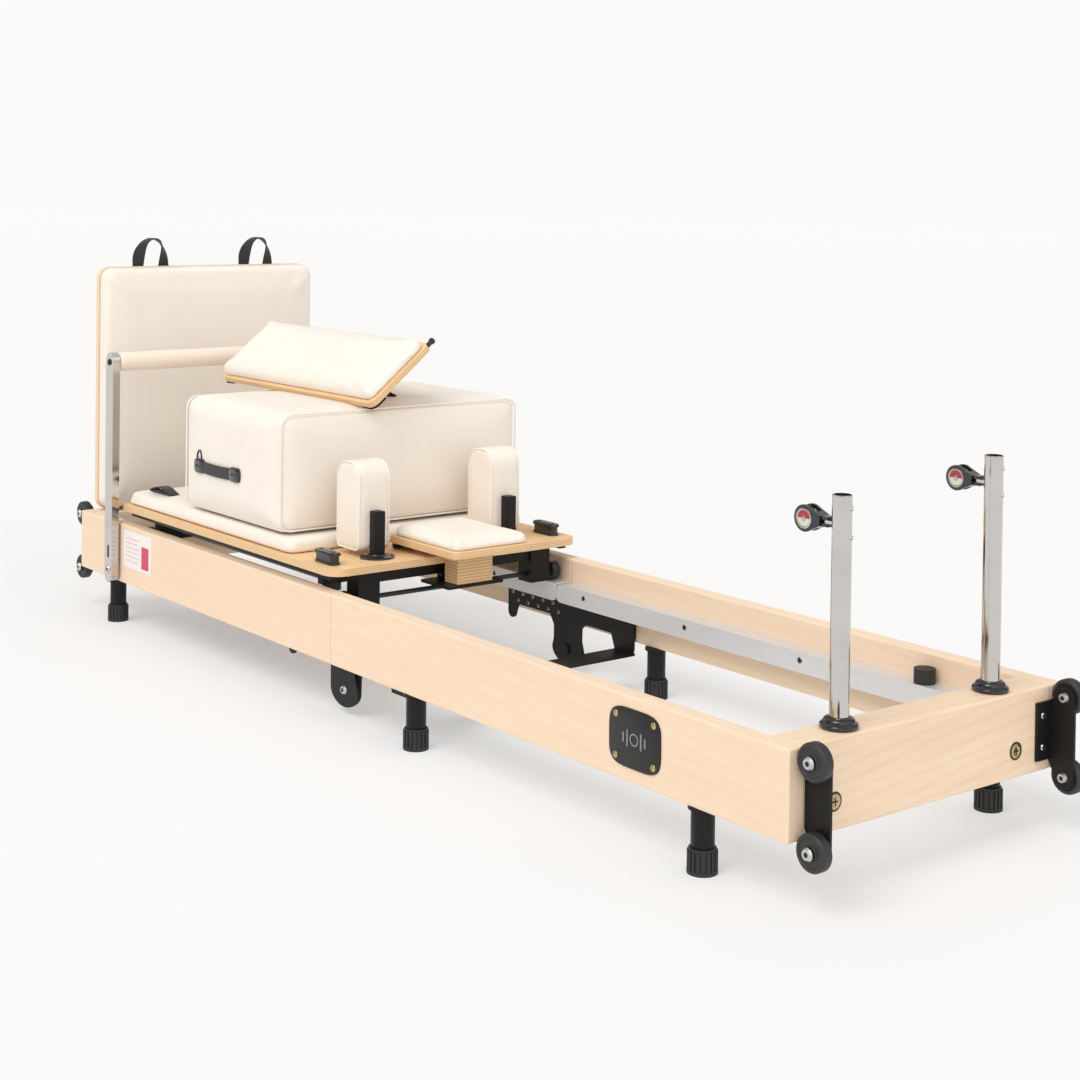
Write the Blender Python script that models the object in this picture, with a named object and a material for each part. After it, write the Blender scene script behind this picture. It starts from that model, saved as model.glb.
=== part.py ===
"""Folding Pilates reformer with padded carriage, long box, standing platform and jump board.

Metres, +Z up. The origin is on the floor under the middle of the frame, +X points to the
pulley end, and the two sides of the frame are called near (-Y) and far (+Y).
"""
import math

import bmesh
import bpy
from mathutils import Vector

# ---------------------------------------------------------------- driving dimensions
GAP = 0.0003                    # air left between pieces that touch
RUN = 0.0005                    # air around a shaft that turns or slides

FRAME_LENGTH = 2.402
FRAME_WIDTH = 0.650
RAIL_HEIGHT = 0.139
RAIL_THICKNESS = 0.034
END_BOARD_THICKNESS = 0.070
LEG_HEIGHT = 0.105              # floor to underside of the frame
BOARD_EDGE = 0.003              # rounded edge of the timber
SEAM_X = -0.049                 # where the two halves of the frame meet

FOLD_PIVOT_DROP = 0.056         # pivot axis below the underside of the frame
HINGE_PLATE = 0.005
HINGE_PIN_RADIUS = 0.008
HINGE_PIN_HEAD_RADIUS = 0.012
HINGE_STRAP_HEIGHT = 0.034
REAR_HINGE_REACH = 0.215        # from the seam back along the rear rails
FRONT_HINGE_REACH = 0.221       # from the seam forward along the front rails
LUG_REACH = 0.050               # pivot axis forwards and back to the lug's edges
LUG_DROP = 0.034                # pivot axis down to the lug's edge
LUG_NECK = 0.014                # how much wider the lug is where it meets the strap
SMALL_LUG_RADIUS = 0.014
SMALL_LUG_DROP = 0.020
BRACE_CORNER = 0.012
BRACE_LENGTH = 0.060
BRACE_DROP = 0.030              # top of the cross brace below the strap

LEG_RADIUS = 0.019
FOOT_RADIUS = 0.024
FOOT_HEIGHT = 0.042
LEG_INSET = 0.011               # inner face of the rail to the leg's axis
REAR_LEG_INSET = 0.161          # foot end of the frame to the rear legs
MIDDLE_LEG_REACH = 0.269        # seam to the middle legs
NEAR_HEAD_LEG_INSET = 0.202
FAR_HEAD_LEG_INSET = 0.131

TRACK_HEIGHT = 0.039
TRACK_DEPTH = 0.041             # from the rail's inner face inwards
TRACK_WALL = 0.004
TRACK_BASE = 0.052              # underside of the frame to underside of the track
TRACK_END_RADIUS = 0.014

ROLLER_RADIUS = 0.020
ROLLER_WIDTH = 0.020
AXLE_RADIUS = 0.005
FRONT_ROLLER_INSET = 0.037      # front edge of the deck to the front axles
REAR_ROLLER_INSET = 0.059
STOP_INSET = 0.248              # pulley end of the frame to the stops
STOP_RADIUS = 0.019
STOP_HEIGHT = 0.026

DECK_LENGTH = 0.946
DECK_SETBACK = 0.004            # seam back to the front edge of the deck
DECK_WIDTH = 0.634
DECK_THICKNESS = 0.015
DECK_HEIGHT = 0.289             # floor to the top of the deck
DECK_CORNER = 0.035
DECK_PAD_THICKNESS = 0.0337
DECK_PAD_SETBACK = 0.182        # bare ply in front of the pad
DECK_PAD_MARGIN = 0.007
BEAM_INSET = 0.042              # inner face of the track to the beam's middle
BEAM_WIDTH = 0.030
BEAM_HEIGHT = 0.026
COLUMN_LENGTH = 0.044
COLUMN_TRACK_CLEARANCE = 0.004
PLATE_THICKNESS = 0.006

SPRING_RADIUS = 0.012
SPRING_Y = 0.070
SPRING_HEIGHT = 0.178
SPRING_BAR_DEPTH = 0.024
SPRING_BAR_HEIGHT = 0.026
SPRING_ANCHOR_INSET = 0.397     # front edge of the deck to the anchor
SPRING_ANCHOR_LENGTH = 0.020

SHOULDER_Y = 0.170
SHOULDER_WIDTH = 0.084
SHOULDER_LENGTH = 0.090
SHOULDER_HEIGHT = 0.186
SHOULDER_LIFT = 0.011           # under the pad, above the deck
SHOULDER_POST_INSET = 0.064     # front edge of the deck to the post
SHOULDER_POST_SIZE = 0.024
SHOULDER_POST_HEIGHT = 0.096
SHOULDER_FLANGE_RADIUS = 0.036
SHOULDER_FLANGE_HEIGHT = 0.008

HEADREST_LENGTH = 0.240
HEADREST_WIDTH = 0.200
HEADREST_BOARD = 0.015
HEADREST_PAD = 0.026
HEADREST_PAD_MARGIN = 0.006
HEADREST_REACH = 0.113          # past the front edge of the deck
HEADREST_BARREL_RADIUS = 0.0073
HEADREST_BARREL_LENGTH = 0.044
HEADREST_BARREL_Y = 0.070
BLOCK_LENGTH = 0.046
BLOCK_WIDTH = 0.090
BLOCK_HEIGHT = 0.068

BOX_LENGTH = 0.434
BOX_WIDTH = 0.626
BOX_HEIGHT = 0.2557
BOX_SETBACK = 0.213             # front edge of the deck to the box
BOX_EDGE = 0.016

PLATFORM_LENGTH = 0.654
PLATFORM_WIDTH = 0.194
PLATFORM_BOARD = 0.014
PLATFORM_PAD = 0.030
PLATFORM_PAD_MARGIN = 0.004
PLATFORM_OVERHANG = 0.028       # past the front face of the box
PLATFORM_EDGE_Y = -0.102
PLATFORM_TILT = math.radians(39)
PROP_LENGTH = 0.090
PROP_WIDTH = 0.240
PROP_SETBACK = 0.262            # front edge of the platform to the prop
PROP_BAR = 0.008
PROP_OFFSET = 0.0055            # pivot axis below the underside of the platform

JUMP_BOARD_SETBACK = 0.026      # outer face of the rail to the board's edge
JUMP_BOARD_HEIGHT = 0.602
JUMP_BOARD_PLY = 0.015
JUMP_BOARD_PAD = 0.040
JUMP_BOARD_INSET = 0.030        # foot end of the frame to where ply and pad meet
JUMP_BOARD_CORNER = 0.030
JUMP_BOARD_PAD_MARGIN = 0.004
TAB_WIDTH = 0.040
TAB_DEPTH = 0.080
TAB_Y = 0.180
STRAP_Y = 0.150
STRAP_WIDTH = 0.100
STRAP_HEIGHT = 0.069
STRAP_THICKNESS = 0.004
STRAP_DEPTH = 0.0144

FOOTBAR_INSET = 0.201           # foot end of the frame to the footbar's pivots
FOOTBAR_PIVOT_Z = 0.135
FOOTBAR_TOP = 0.650
FOOTBAR_BOTTOM = 0.104
UPRIGHT_LENGTH = 0.038
UPRIGHT_THICKNESS = 0.018
UPRIGHT_CLEARANCE = 0.006       # between rail and upright
FOOTBAR_TUBE_RADIUS = 0.0125
FOOTBAR_PIN_RADIUS = 0.008
GRIP_RADIUS = 0.0225
GRIP_BELOW_TOP = 0.023

POST_INSET = 0.036              # pulley end of the frame to the posts
POST_Y = 0.180
POST_RADIUS = 0.0155
POST_WALL = 0.002
POST_RECESS = 0.014
POST_LENGTH = 0.460
NEAR_POST_TOP = 0.598
FAR_POST_TOP = 0.629
COLLAR_RADIUS = 0.030
COLLAR_HEIGHT = 0.022

PULLEY_BELOW_TOP = 0.045
PULLEY_RADIUS = 0.021
PULLEY_REACH = 0.068            # post axis to sheave axis
PULLEY_THICKNESS = 0.022
PULLEY_CHEEK = 0.0045
PULLEY_PIN_REACH = 0.028        # post axis to swivel pin
EYE_THICKNESS = 0.005
EYE_RADIUS = 0.007
EYE_PIN_RADIUS = 0.003
NECK_HEIGHT = 0.016
SHEAVE_RADIUS = 0.0165
SHEAVE_GROOVE = 0.005
SHEAVE_PIN_RADIUS = 0.004

WHEEL_RADIUS = 0.029
WHEEL_WIDTH = 0.020
WHEEL_PIN_RADIUS = 0.006
WHEEL_HEAD_RADIUS = 0.0095
WHEEL_HEAD_HEIGHT = 0.004
WHEEL_CLEARANCE = 0.0015        # end of the rail to the wheel's rim
UPPER_WHEEL_Z = 0.230
LOWER_WHEEL_Z = 0.098
BRACKET_PLATE = 0.005
BRACKET_LOBE = 0.020
FLANGE_WIDTH = 0.040
FLANGE_LOW = 0.124
FLANGE_HIGH = 0.220

# ---------------------------------------------------------------- places worked out from them
END_X = FRAME_LENGTH / 2
OUTER_Y = FRAME_WIDTH / 2
INNER_Y = OUTER_Y - RAIL_THICKNESS
FRAME_BOTTOM = LEG_HEIGHT
FRAME_TOP = FRAME_BOTTOM + RAIL_HEIGHT
BOARD_INNER_X = END_X - END_BOARD_THICKNESS
PIVOT_Z = FRAME_BOTTOM - FOLD_PIVOT_DROP
LEG_Y = INNER_Y + LEG_INSET
REAR_LEG_X = -END_X + REAR_LEG_INSET
MIDDLE_LEG_X = SEAM_X + MIDDLE_LEG_REACH
NEAR_HEAD_LEG_X = END_X - NEAR_HEAD_LEG_INSET
FAR_HEAD_LEG_X = END_X - FAR_HEAD_LEG_INSET
STOP_X = END_X - STOP_INSET
POST_X = END_X - POST_INSET
BRACKET_Y = INNER_Y
WHEEL_REACH = WHEEL_RADIUS + WHEEL_CLEARANCE
JUMP_BOARD_FACE_X = -END_X + JUMP_BOARD_INSET
JUMP_BOARD_WIDTH = FRAME_WIDTH - 2 * JUMP_BOARD_SETBACK
FOOTBAR_X = -END_X + FOOTBAR_INSET
TRACK_BOTTOM = FRAME_BOTTOM + TRACK_BASE
TRACK_TOP = TRACK_BOTTOM + TRACK_HEIGHT
TRACK_FACE_Y = INNER_Y - TRACK_DEPTH
ROLLER_Z = TRACK_TOP + ROLLER_RADIUS + GAP
ROLLER_Y = INNER_Y - TRACK_DEPTH / 2
DECK_FRONT_X = SEAM_X - DECK_SETBACK
DECK_BOTTOM = DECK_HEIGHT - DECK_THICKNESS
DECK_REAR_X = DECK_FRONT_X - DECK_LENGTH
FRONT_ROLLER_X = DECK_FRONT_X - FRONT_ROLLER_INSET
REAR_ROLLER_X = DECK_REAR_X + REAR_ROLLER_INSET
BEAM_Y = TRACK_FACE_Y - BEAM_INSET
SPRING_ANCHOR_X = DECK_FRONT_X - SPRING_ANCHOR_INSET
SHOULDER_POST_X = DECK_FRONT_X - SHOULDER_POST_INSET
HEADREST_FRONT_X = DECK_FRONT_X + HEADREST_REACH
BOX_FRONT_X = DECK_FRONT_X - BOX_SETBACK
PLATFORM_FRONT_X = BOX_FRONT_X + PLATFORM_OVERHANG
PROP_X = PLATFORM_FRONT_X - PROP_SETBACK
PAD_TOP = DECK_HEIGHT + DECK_PAD_THICKNESS + GAP
BOX_BOTTOM = PAD_TOP + GAP
BOX_TOP = BOX_BOTTOM + BOX_HEIGHT
HEADREST_BOTTOM = DECK_HEIGHT + 2 * HEADREST_BARREL_RADIUS - 0.0004 + GAP
HEADREST_REAR_X = HEADREST_FRONT_X - HEADREST_LENGTH
BARREL_X = HEADREST_REAR_X + HEADREST_BARREL_RADIUS + 0.002
BARREL_Z = DECK_HEIGHT + HEADREST_BARREL_RADIUS + GAP
BLOCK_TOP = HEADREST_BOTTOM - GAP
UPRIGHT_Y = OUTER_Y + UPRIGHT_CLEARANCE + UPRIGHT_THICKNESS / 2
GRIP_Z = FOOTBAR_TOP - GRIP_BELOW_TOP
SIDES = (("near", -1), ("far", 1))


# ---------------------------------------------------------------- materials
def material(name, colour, roughness, metallic=0.0):
    """A plain Principled material."""
    made = bpy.data.materials.new(name)
    made.use_nodes = True
    shader = made.node_tree.nodes["Principled BSDF"]
    shader.inputs["Base Color"].default_value = (*colour, 1.0)
    shader.inputs["Roughness"].default_value = roughness
    shader.inputs["Metallic"].default_value = metallic
    made.diffuse_color = (*colour, 1.0)
    return made


# ---------------------------------------------------------------- modelling helpers
def object_from(name, mesh_data, origin, finish):
    """Turn a bmesh, drawn around its origin, into a named object at that origin."""
    bmesh.ops.recalc_face_normals(mesh_data, faces=mesh_data.faces)
    mesh = bpy.data.meshes.new(name)
    mesh_data.to_mesh(mesh)
    mesh_data.free()
    mesh.shade_smooth()
    mesh.set_sharp_from_angle(angle=math.radians(30))
    made = bpy.data.objects.new(name, mesh)
    made.location = origin
    if finish:
        mesh.materials.append(finish)
    bpy.context.scene.collection.objects.link(made)
    return made


def block(name, low, high, finish=None, edge=0.0, origin=None):
    """A rectangular block between two corners, with rounded edges where asked."""
    low = Vector(low)
    high = Vector(high)
    origin = Vector(origin) if origin is not None else (low + high) / 2
    shape = bmesh.new()
    bmesh.ops.create_cube(shape, size=1.0)
    bmesh.ops.scale(shape, vec=high - low, verts=shape.verts)
    bmesh.ops.translate(shape, vec=(low + high) / 2 - origin, verts=shape.verts)
    made = object_from(name, shape, origin, finish)
    if edge:
        round_edges(made, edge)
    return made


def round_edges(target, width, segments=2, angle=60):
    """Round the sharp edges with a Bevel modifier."""
    bevel = target.modifiers.new("rounded edges", "BEVEL")
    bevel.width = width
    bevel.segments = segments
    bevel.limit_method = "ANGLE"
    bevel.angle_limit = math.radians(angle)


def axis_point(axis, along, flat):
    """A point from its place along an axis and its two places across it."""
    first, second = flat
    if axis == "X":
        return Vector((along, first, second))
    if axis == "Y":
        return Vector((first, along, second))
    return Vector((first, second, along))


def prism(name, outline, axis, low, high, finish=None, origin=(0, 0, 0)):
    """A flat outline extruded along an axis, from low to high."""
    origin = Vector(origin)
    shape = bmesh.new()
    corners = [shape.verts.new(axis_point(axis, low, point) - origin) for point in outline]
    face = shape.faces.new(corners)
    grown = bmesh.ops.extrude_face_region(shape, geom=[face])
    raised = [item for item in grown["geom"] if isinstance(item, bmesh.types.BMVert)]
    bmesh.ops.translate(shape, vec=axis_point(axis, high - low, (0, 0)), verts=raised)
    return object_from(name, shape, origin, finish)


def turned(name, profile, axis, centre, finish=None, steps=24, ring=False):
    """A profile of (radius, along) points turned about an axis through centre.

    A solid's profile starts and ends on the axis. A ring's profile is a closed loop.
    """
    shape = bmesh.new()
    rings = []
    for radius, along in profile:
        if radius == 0:
            rings.append([shape.verts.new(axis_point(axis, along, (0, 0)))])
            continue
        angles = [2 * math.pi * step / steps for step in range(steps)]
        flat = [(radius * math.cos(angle), radius * math.sin(angle)) for angle in angles]
        rings.append([shape.verts.new(axis_point(axis, along, point)) for point in flat])
    pairs = list(zip(rings, rings[1:]))
    if ring:
        pairs.append((rings[-1], rings[0]))
    for first, second in pairs:
        for step in range(steps):
            after = (step + 1) % steps
            if len(first) == 1:
                shape.faces.new((first[0], second[step], second[after]))
            elif len(second) == 1:
                shape.faces.new((first[step], first[after], second[0]))
            else:
                shape.faces.new((first[step], first[after], second[after], second[step]))
    return object_from(name, shape, Vector(centre), finish)


def rod(name, radius, axis, centre, length, finish=None, steps=24):
    """A round bar centred on a point."""
    half = length / 2
    profile = [(0, -half), (radius, -half), (radius, half), (0, half)]
    return turned(name, profile, axis, centre, finish, steps)


def arc(centre, radius, start, end, steps):
    """Points on a circle from start to end, in degrees."""
    angles = [math.radians(start + (end - start) * step / steps) for step in range(steps + 1)]
    return [(centre[0] + radius * math.cos(a), centre[1] + radius * math.sin(a)) for a in angles]


def rounded_rectangle(low, high, radii, steps=5):
    """An outline with its four corners rounded, from the low corner anticlockwise."""
    corners = (
        (low[0], low[1], 1, 1, 180),
        (high[0], low[1], -1, 1, 270),
        (high[0], high[1], -1, -1, 0),
        (low[0], high[1], 1, -1, 90),
    )
    points = []
    for (x, y, to_x, to_y, start), radius in zip(corners, radii):
        if radius:
            centre = (x + to_x * radius, y + to_y * radius)
            points += arc(centre, radius, start, start + 90, steps)
        else:
            points.append((x, y))
    return points


def as_guide(shape):
    """Keep a shape only as a cutter or as a part of another one."""
    shape.hide_render = True
    shape.display_type = "WIRE"


def combine(target, operation, shapes):
    """Join shapes to the target, or cut them from it."""
    for shape in shapes:
        change = target.modifiers.new(operation.lower(), "BOOLEAN")
        change.operation = operation
        change.solver = "EXACT"
        change.object = shape
        as_guide(shape)
    return target


def join(target, *shapes):
    return combine(target, "UNION", shapes)


def cut(target, *shapes):
    return combine(target, "DIFFERENCE", shapes)


def pivot(name, place, tilt=0.0):
    """An empty on a joint's axis, which carries the pieces that move."""
    made = bpy.data.objects.new(name, None)
    made.location = place
    made.rotation_euler = (tilt, 0, 0)
    made.empty_display_size = 0.05
    bpy.context.scene.collection.objects.link(made)
    return made


def carry(carrier, *pieces):
    """Parent pieces to an empty, and leave them where they are."""
    bpy.context.view_layer.update()
    for piece in pieces:
        piece.parent = carrier
        piece.matrix_parent_inverse = carrier.matrix_world.inverted()


def between(first, second):
    """The two numbers in rising order."""
    return (first, second) if first < second else (second, first)


# ---------------------------------------------------------------- frame
def side_rail(name, side, from_x, to_x, finish):
    low_y, high_y = between(side * INNER_Y, side * OUTER_Y)
    low = (from_x, low_y, FRAME_BOTTOM)
    high = (to_x, high_y, FRAME_TOP)
    return block(name, low, high, finish, BOARD_EDGE)


def end_board(name, end, finish):
    low_x, high_x = between(end * BOARD_INNER_X, end * END_X)
    half = INNER_Y - GAP
    low = (low_x, -half, FRAME_BOTTOM)
    high = (high_x, half, FRAME_TOP)
    return block(name, low, high, finish, BOARD_EDGE)


def leg(name, x, y, tube_finish):
    profile = [
        (0, 0),
        (FOOT_RADIUS, 0),
        (FOOT_RADIUS, FOOT_HEIGHT - 0.004),
        (LEG_RADIUS, FOOT_HEIGHT),
        (LEG_RADIUS, FRAME_BOTTOM - GAP),
        (0, FRAME_BOTTOM - GAP),
    ]
    return turned(name, profile, "Z", (x, y, 0), tube_finish)


def track(name, side, from_x, to_x, round_high_end, finish):
    """A C-shaped extrusion, open towards the rail, with one end rounded at the seam."""
    outer = side * (INNER_Y - GAP)
    inner = side * TRACK_FACE_Y
    web = inner + side * TRACK_WALL
    outline = [
        (outer, TRACK_BOTTOM),
        (inner, TRACK_BOTTOM),
        (inner, TRACK_TOP),
        (outer, TRACK_TOP),
        (outer, TRACK_TOP - TRACK_WALL),
        (web, TRACK_TOP - TRACK_WALL),
        (web, TRACK_BOTTOM + TRACK_WALL),
        (outer, TRACK_BOTTOM + TRACK_WALL),
    ]
    made = prism(name, outline, "X", from_x, to_x, finish)
    radius = TRACK_END_RADIUS
    radii = (0, radius, radius, 0) if round_high_end else (radius, 0, 0, radius)
    low = (from_x, TRACK_BOTTOM)
    high = (to_x, TRACK_TOP)
    far_out = OUTER_Y + 0.01
    slab = prism(name + "_end_shape", rounded_rectangle(low, high, radii), "Y", -far_out, far_out)
    return combine(made, "INTERSECT", [slab])


def wheel_bracket(name, end, side, finish):
    """A plate beside the end of the rail, its flange on the end board, and two wheel pins."""
    wheel_x = end * (END_X + WHEEL_REACH)
    face_x = end * (END_X + GAP)
    outer = side * BRACKET_Y
    inner = side * (BRACKET_Y - BRACKET_PLATE)
    upper = arc((wheel_x, UPPER_WHEEL_Z), BRACKET_LOBE, 0, 180, 8)
    lower = arc((wheel_x, LOWER_WHEEL_Z), BRACKET_LOBE, 180, 360, 8)
    if end < 0:
        upper = upper[::-1]
        lower = lower[::-1]
    outline = upper[:-1] + [(wheel_x - end * BRACKET_LOBE, UPPER_WHEEL_Z - 0.004)]
    outline += [(face_x, FLANGE_HIGH), (face_x, FLANGE_LOW)]
    outline += [(wheel_x - end * BRACKET_LOBE, LOWER_WHEEL_Z + 0.004)] + lower[1:]
    made = prism(name, outline, "Y", *between(inner, outer), finish)
    flange_y = between(outer, side * (BRACKET_Y - FLANGE_WIDTH))
    flange_x = between(face_x, face_x + end * BRACKET_PLATE)
    low = (flange_x[0], flange_y[0], FLANGE_LOW)
    high = (flange_x[1], flange_y[1], FLANGE_HIGH)
    join(made, block(name + "_flange", low, high))
    for level, z in (("upper", UPPER_WHEEL_Z), ("lower", LOWER_WHEEL_Z)):
        head_start = WHEEL_WIDTH + 2 * RUN
        profile = [
            (0, -BRACKET_PLATE / 2),
            (WHEEL_PIN_RADIUS, -BRACKET_PLATE / 2),
            (WHEEL_PIN_RADIUS, head_start),
            (WHEEL_HEAD_RADIUS, head_start),
            (WHEEL_HEAD_RADIUS, head_start + WHEEL_HEAD_HEIGHT),
            (0, head_start + WHEEL_HEAD_HEIGHT),
        ]
        profile = [(radius, side * along) for radius, along in profile]
        join(made, turned(name + "_" + level + "_pin", profile, "Y", (wheel_x, outer, z), steps=16))
    return made


def transport_wheel(name, end, side, z, finish):
    """A solid tyre with a chamfered tread, on the outer side of its bracket."""
    wheel_x = end * (END_X + WHEEL_REACH)
    centre_y = side * (BRACKET_Y + RUN + WHEEL_WIDTH / 2)
    half = WHEEL_WIDTH / 2
    bore = WHEEL_PIN_RADIUS + RUN
    chamfer = 0.003
    profile = [
        (bore, -half),
        (WHEEL_RADIUS - chamfer, -half),
        (WHEEL_RADIUS, -half + chamfer),
        (WHEEL_RADIUS, half - chamfer),
        (WHEEL_RADIUS - chamfer, half),
        (bore, half),
    ]
    return turned(name, profile, "Y", (wheel_x, centre_y, z), finish, ring=True)


# ---------------------------------------------------------------- fold hinge
def strap_levels():
    """Bottom and top of the hinge straps, centred between the track and the rail's edge."""
    middle = (FRAME_BOTTOM + TRACK_BOTTOM) / 2
    return middle - HINGE_STRAP_HEIGHT / 2, middle + HINGE_STRAP_HEIGHT / 2


def lug_outline(less):
    """The rounded lower half of a lug, drawn from back to front; less makes it smaller all round."""
    across, down = LUG_REACH - less, LUG_DROP - less
    turns = [math.pi + math.pi * step / 14 for step in range(15)]
    return [(SEAM_X + across * math.cos(turn), PIVOT_Z + down * math.sin(turn)) for turn in turns]


def rear_hinge_plate(name, side, finish):
    """A strap on the rear rail with a tapering lug that carries the fold pin."""
    low_z, high_z = strap_levels()
    back = SEAM_X - REAR_HINGE_REACH
    front = SEAM_X - GAP
    lug_top = FRAME_BOTTOM - BRACE_CORNER
    small_lug = arc((back + SMALL_LUG_RADIUS, low_z - SMALL_LUG_DROP), SMALL_LUG_RADIUS, 180, 360, 6)
    outline = [(back, high_z)] + small_lug + [(back + 2 * SMALL_LUG_RADIUS + 0.008, low_z)]
    outline += [(SEAM_X - LUG_REACH - LUG_NECK, low_z), (SEAM_X - LUG_REACH, lug_top)]
    outline += lug_outline(0)
    outline += [(SEAM_X + LUG_REACH - LUG_NECK, lug_top), (front, lug_top + 0.004)]
    outline += [(front, high_z)]
    outer = side * (INNER_Y - GAP)
    inner = outer - side * HINGE_PLATE
    made = prism(name, outline, "Y", *between(inner, outer), finish)
    leaf = HINGE_PLATE + 2 * RUN
    head = 0.004
    profile = [
        (0, HINGE_PLATE / 2),
        (HINGE_PIN_RADIUS, HINGE_PLATE / 2),
        (HINGE_PIN_RADIUS, -leaf),
        (HINGE_PIN_HEAD_RADIUS, -leaf),
        (HINGE_PIN_HEAD_RADIUS, -leaf - head),
        (0, -leaf - head),
    ]
    profile = [(radius, side * along) for radius, along in profile]
    return join(made, turned(name + "_pin", profile, "Y", (SEAM_X, inner, PIVOT_Z)))


def hinge_yoke(name, finish):
    """The two front hinge leaves and the flat brace that ties them together."""
    low_z, high_z = strap_levels()
    front = SEAM_X + FRONT_HINGE_REACH
    brace_top = low_z - BRACE_DROP
    brace_back = front - BRACE_LENGTH
    leaf_outer = INNER_Y - GAP - HINGE_PLATE - RUN
    leaf_inner = leaf_outer - HINGE_PLATE
    low = (brace_back, -leaf_outer, brace_top - HINGE_PLATE)
    high = (front, leaf_outer, brace_top)
    made = block(name, low, high, finish, origin=(SEAM_X, 0, PIVOT_Z))
    for side_name, side in SIDES:
        brace_bottom = brace_top - HINGE_PLATE + 0.0005
        corner = (front - 0.001 - BRACE_CORNER, brace_bottom + BRACE_CORNER)
        outline = lug_outline(0.002)
        outline += [(SEAM_X + LUG_REACH, low_z - BRACE_CORNER), (SEAM_X + LUG_REACH + LUG_NECK, low_z)]
        outline += [(brace_back - BRACE_CORNER, low_z), (brace_back, brace_top - 0.001)]
        outline += [(brace_back, brace_bottom)] + arc(corner, BRACE_CORNER, 270, 360, 4)
        outline += [(front - 0.001, high_z), (SEAM_X + GAP, high_z), (SEAM_X + GAP, low_z)]
        outline += [(SEAM_X - LUG_REACH + LUG_NECK, FRAME_BOTTOM - BRACE_CORNER)]
        leaf_range = between(side * leaf_inner, side * leaf_outer)
        leaf = prism(name + "_leaf_" + side_name, outline, "Y", *leaf_range)
        spacer_range = between(side * (leaf_outer - 0.001), side * (INNER_Y - GAP))
        low = (SEAM_X + 0.012, spacer_range[0], low_z + 0.001)
        high = (front - 0.004, spacer_range[1], high_z - 0.001)
        spacer = block(name + "_spacer_" + side_name, low, high)
        bore_y = side * (leaf_inner + leaf_outer) / 2
        bore_radius = HINGE_PIN_RADIUS + RUN
        bore = rod(name + "_bore_" + side_name, bore_radius, "Y", (SEAM_X, bore_y, PIVOT_Z), 0.02)
        cut(leaf, bore)
        join(made, leaf, spacer)
    return made


# ---------------------------------------------------------------- posts and pulleys
def riser_post(name, side, top, finish):
    """A tube with an open top and a flat eye for its pulley."""
    centre = (POST_X, side * POST_Y, top)
    bore = POST_RADIUS - POST_WALL
    profile = [
        (0, -POST_LENGTH),
        (POST_RADIUS, -POST_LENGTH),
        (POST_RADIUS, -0.001),
        (POST_RADIUS - 0.001, 0),
        (bore, 0),
        (bore, -POST_RECESS),
        (0, -POST_RECESS),
    ]
    made = turned(name, profile, "Z", centre, finish, steps=32)
    eye_z = top - PULLEY_BELOW_TOP
    pin_x = POST_X - PULLEY_PIN_REACH
    y = side * POST_Y
    outline = arc((pin_x, y), EYE_RADIUS, 90, 270, 8)
    outline += [(POST_X - POST_RADIUS + 0.003, y - EYE_RADIUS)]
    outline += [(POST_X - POST_RADIUS + 0.003, y + EYE_RADIUS)]
    low_z = eye_z - EYE_THICKNESS / 2
    eye = prism(name + "_eye", outline, "Z", low_z, low_z + EYE_THICKNESS)
    bore = rod(name + "_eye_bore", EYE_PIN_RADIUS + RUN, "Z", (pin_x, y, eye_z), 0.02, steps=16)
    cut(eye, bore)
    return join(made, eye)


def pulley_block(name, side, top, finish):
    """Two teardrop cheeks with the sheave's pin, and a forked neck around the post's eye."""
    y = side * POST_Y
    z = top - PULLEY_BELOW_TOP
    pin_x = POST_X - PULLEY_PIN_REACH
    sheave_x = POST_X - PULLEY_REACH
    half = PULLEY_THICKNESS / 2
    neck = NECK_HEIGHT / 2
    outline = arc((sheave_x, z), PULLEY_RADIUS, 55, 305, 16)
    outline += [(pin_x - 0.008, z - neck), (pin_x + 0.006, z - neck)]
    outline += [(pin_x + 0.006, z + neck), (pin_x - 0.008, z + neck)]
    made = prism(name, outline, "Y", y - half, y + half, finish, (pin_x, y, z))
    pocket_half = half - PULLEY_CHEEK
    pocket_centre = (sheave_x, y, z)
    pocket_radius = PULLEY_RADIUS + 0.004
    pocket = rod(name + "_pocket", pocket_radius, "Y", pocket_centre, 2 * pocket_half, steps=32)
    slot_half = EYE_THICKNESS / 2 + RUN
    slot_low = (pin_x - EYE_RADIUS - 0.002, y - half - 0.001, z - slot_half)
    slot_high = (pin_x + 0.02, y + half + 0.001, z + slot_half)
    slot = block(name + "_slot", slot_low, slot_high)
    shoulder_x = (pin_x - 0.008, pin_x + 0.02)
    shoulders = []
    for number, out in enumerate((-1, 1)):
        low_y, high_y = between(y + out * (EYE_RADIUS + 0.001), y + out * (half + 0.001))
        low = (shoulder_x[0], low_y, z - 0.02)
        high = (shoulder_x[1], high_y, z + 0.02)
        shoulders.append(block(name + "_shoulder_%d" % number, low, high))
    cut(made, pocket, slot, *shoulders)
    sheave_pin = rod(name + "_sheave_pin", SHEAVE_PIN_RADIUS, "Y", pocket_centre, 2 * half - 0.002)
    eye_pin = rod(name + "_eye_pin", EYE_PIN_RADIUS, "Z", (pin_x, y, z), 0.012, steps=16)
    return join(made, sheave_pin, eye_pin)


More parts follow.
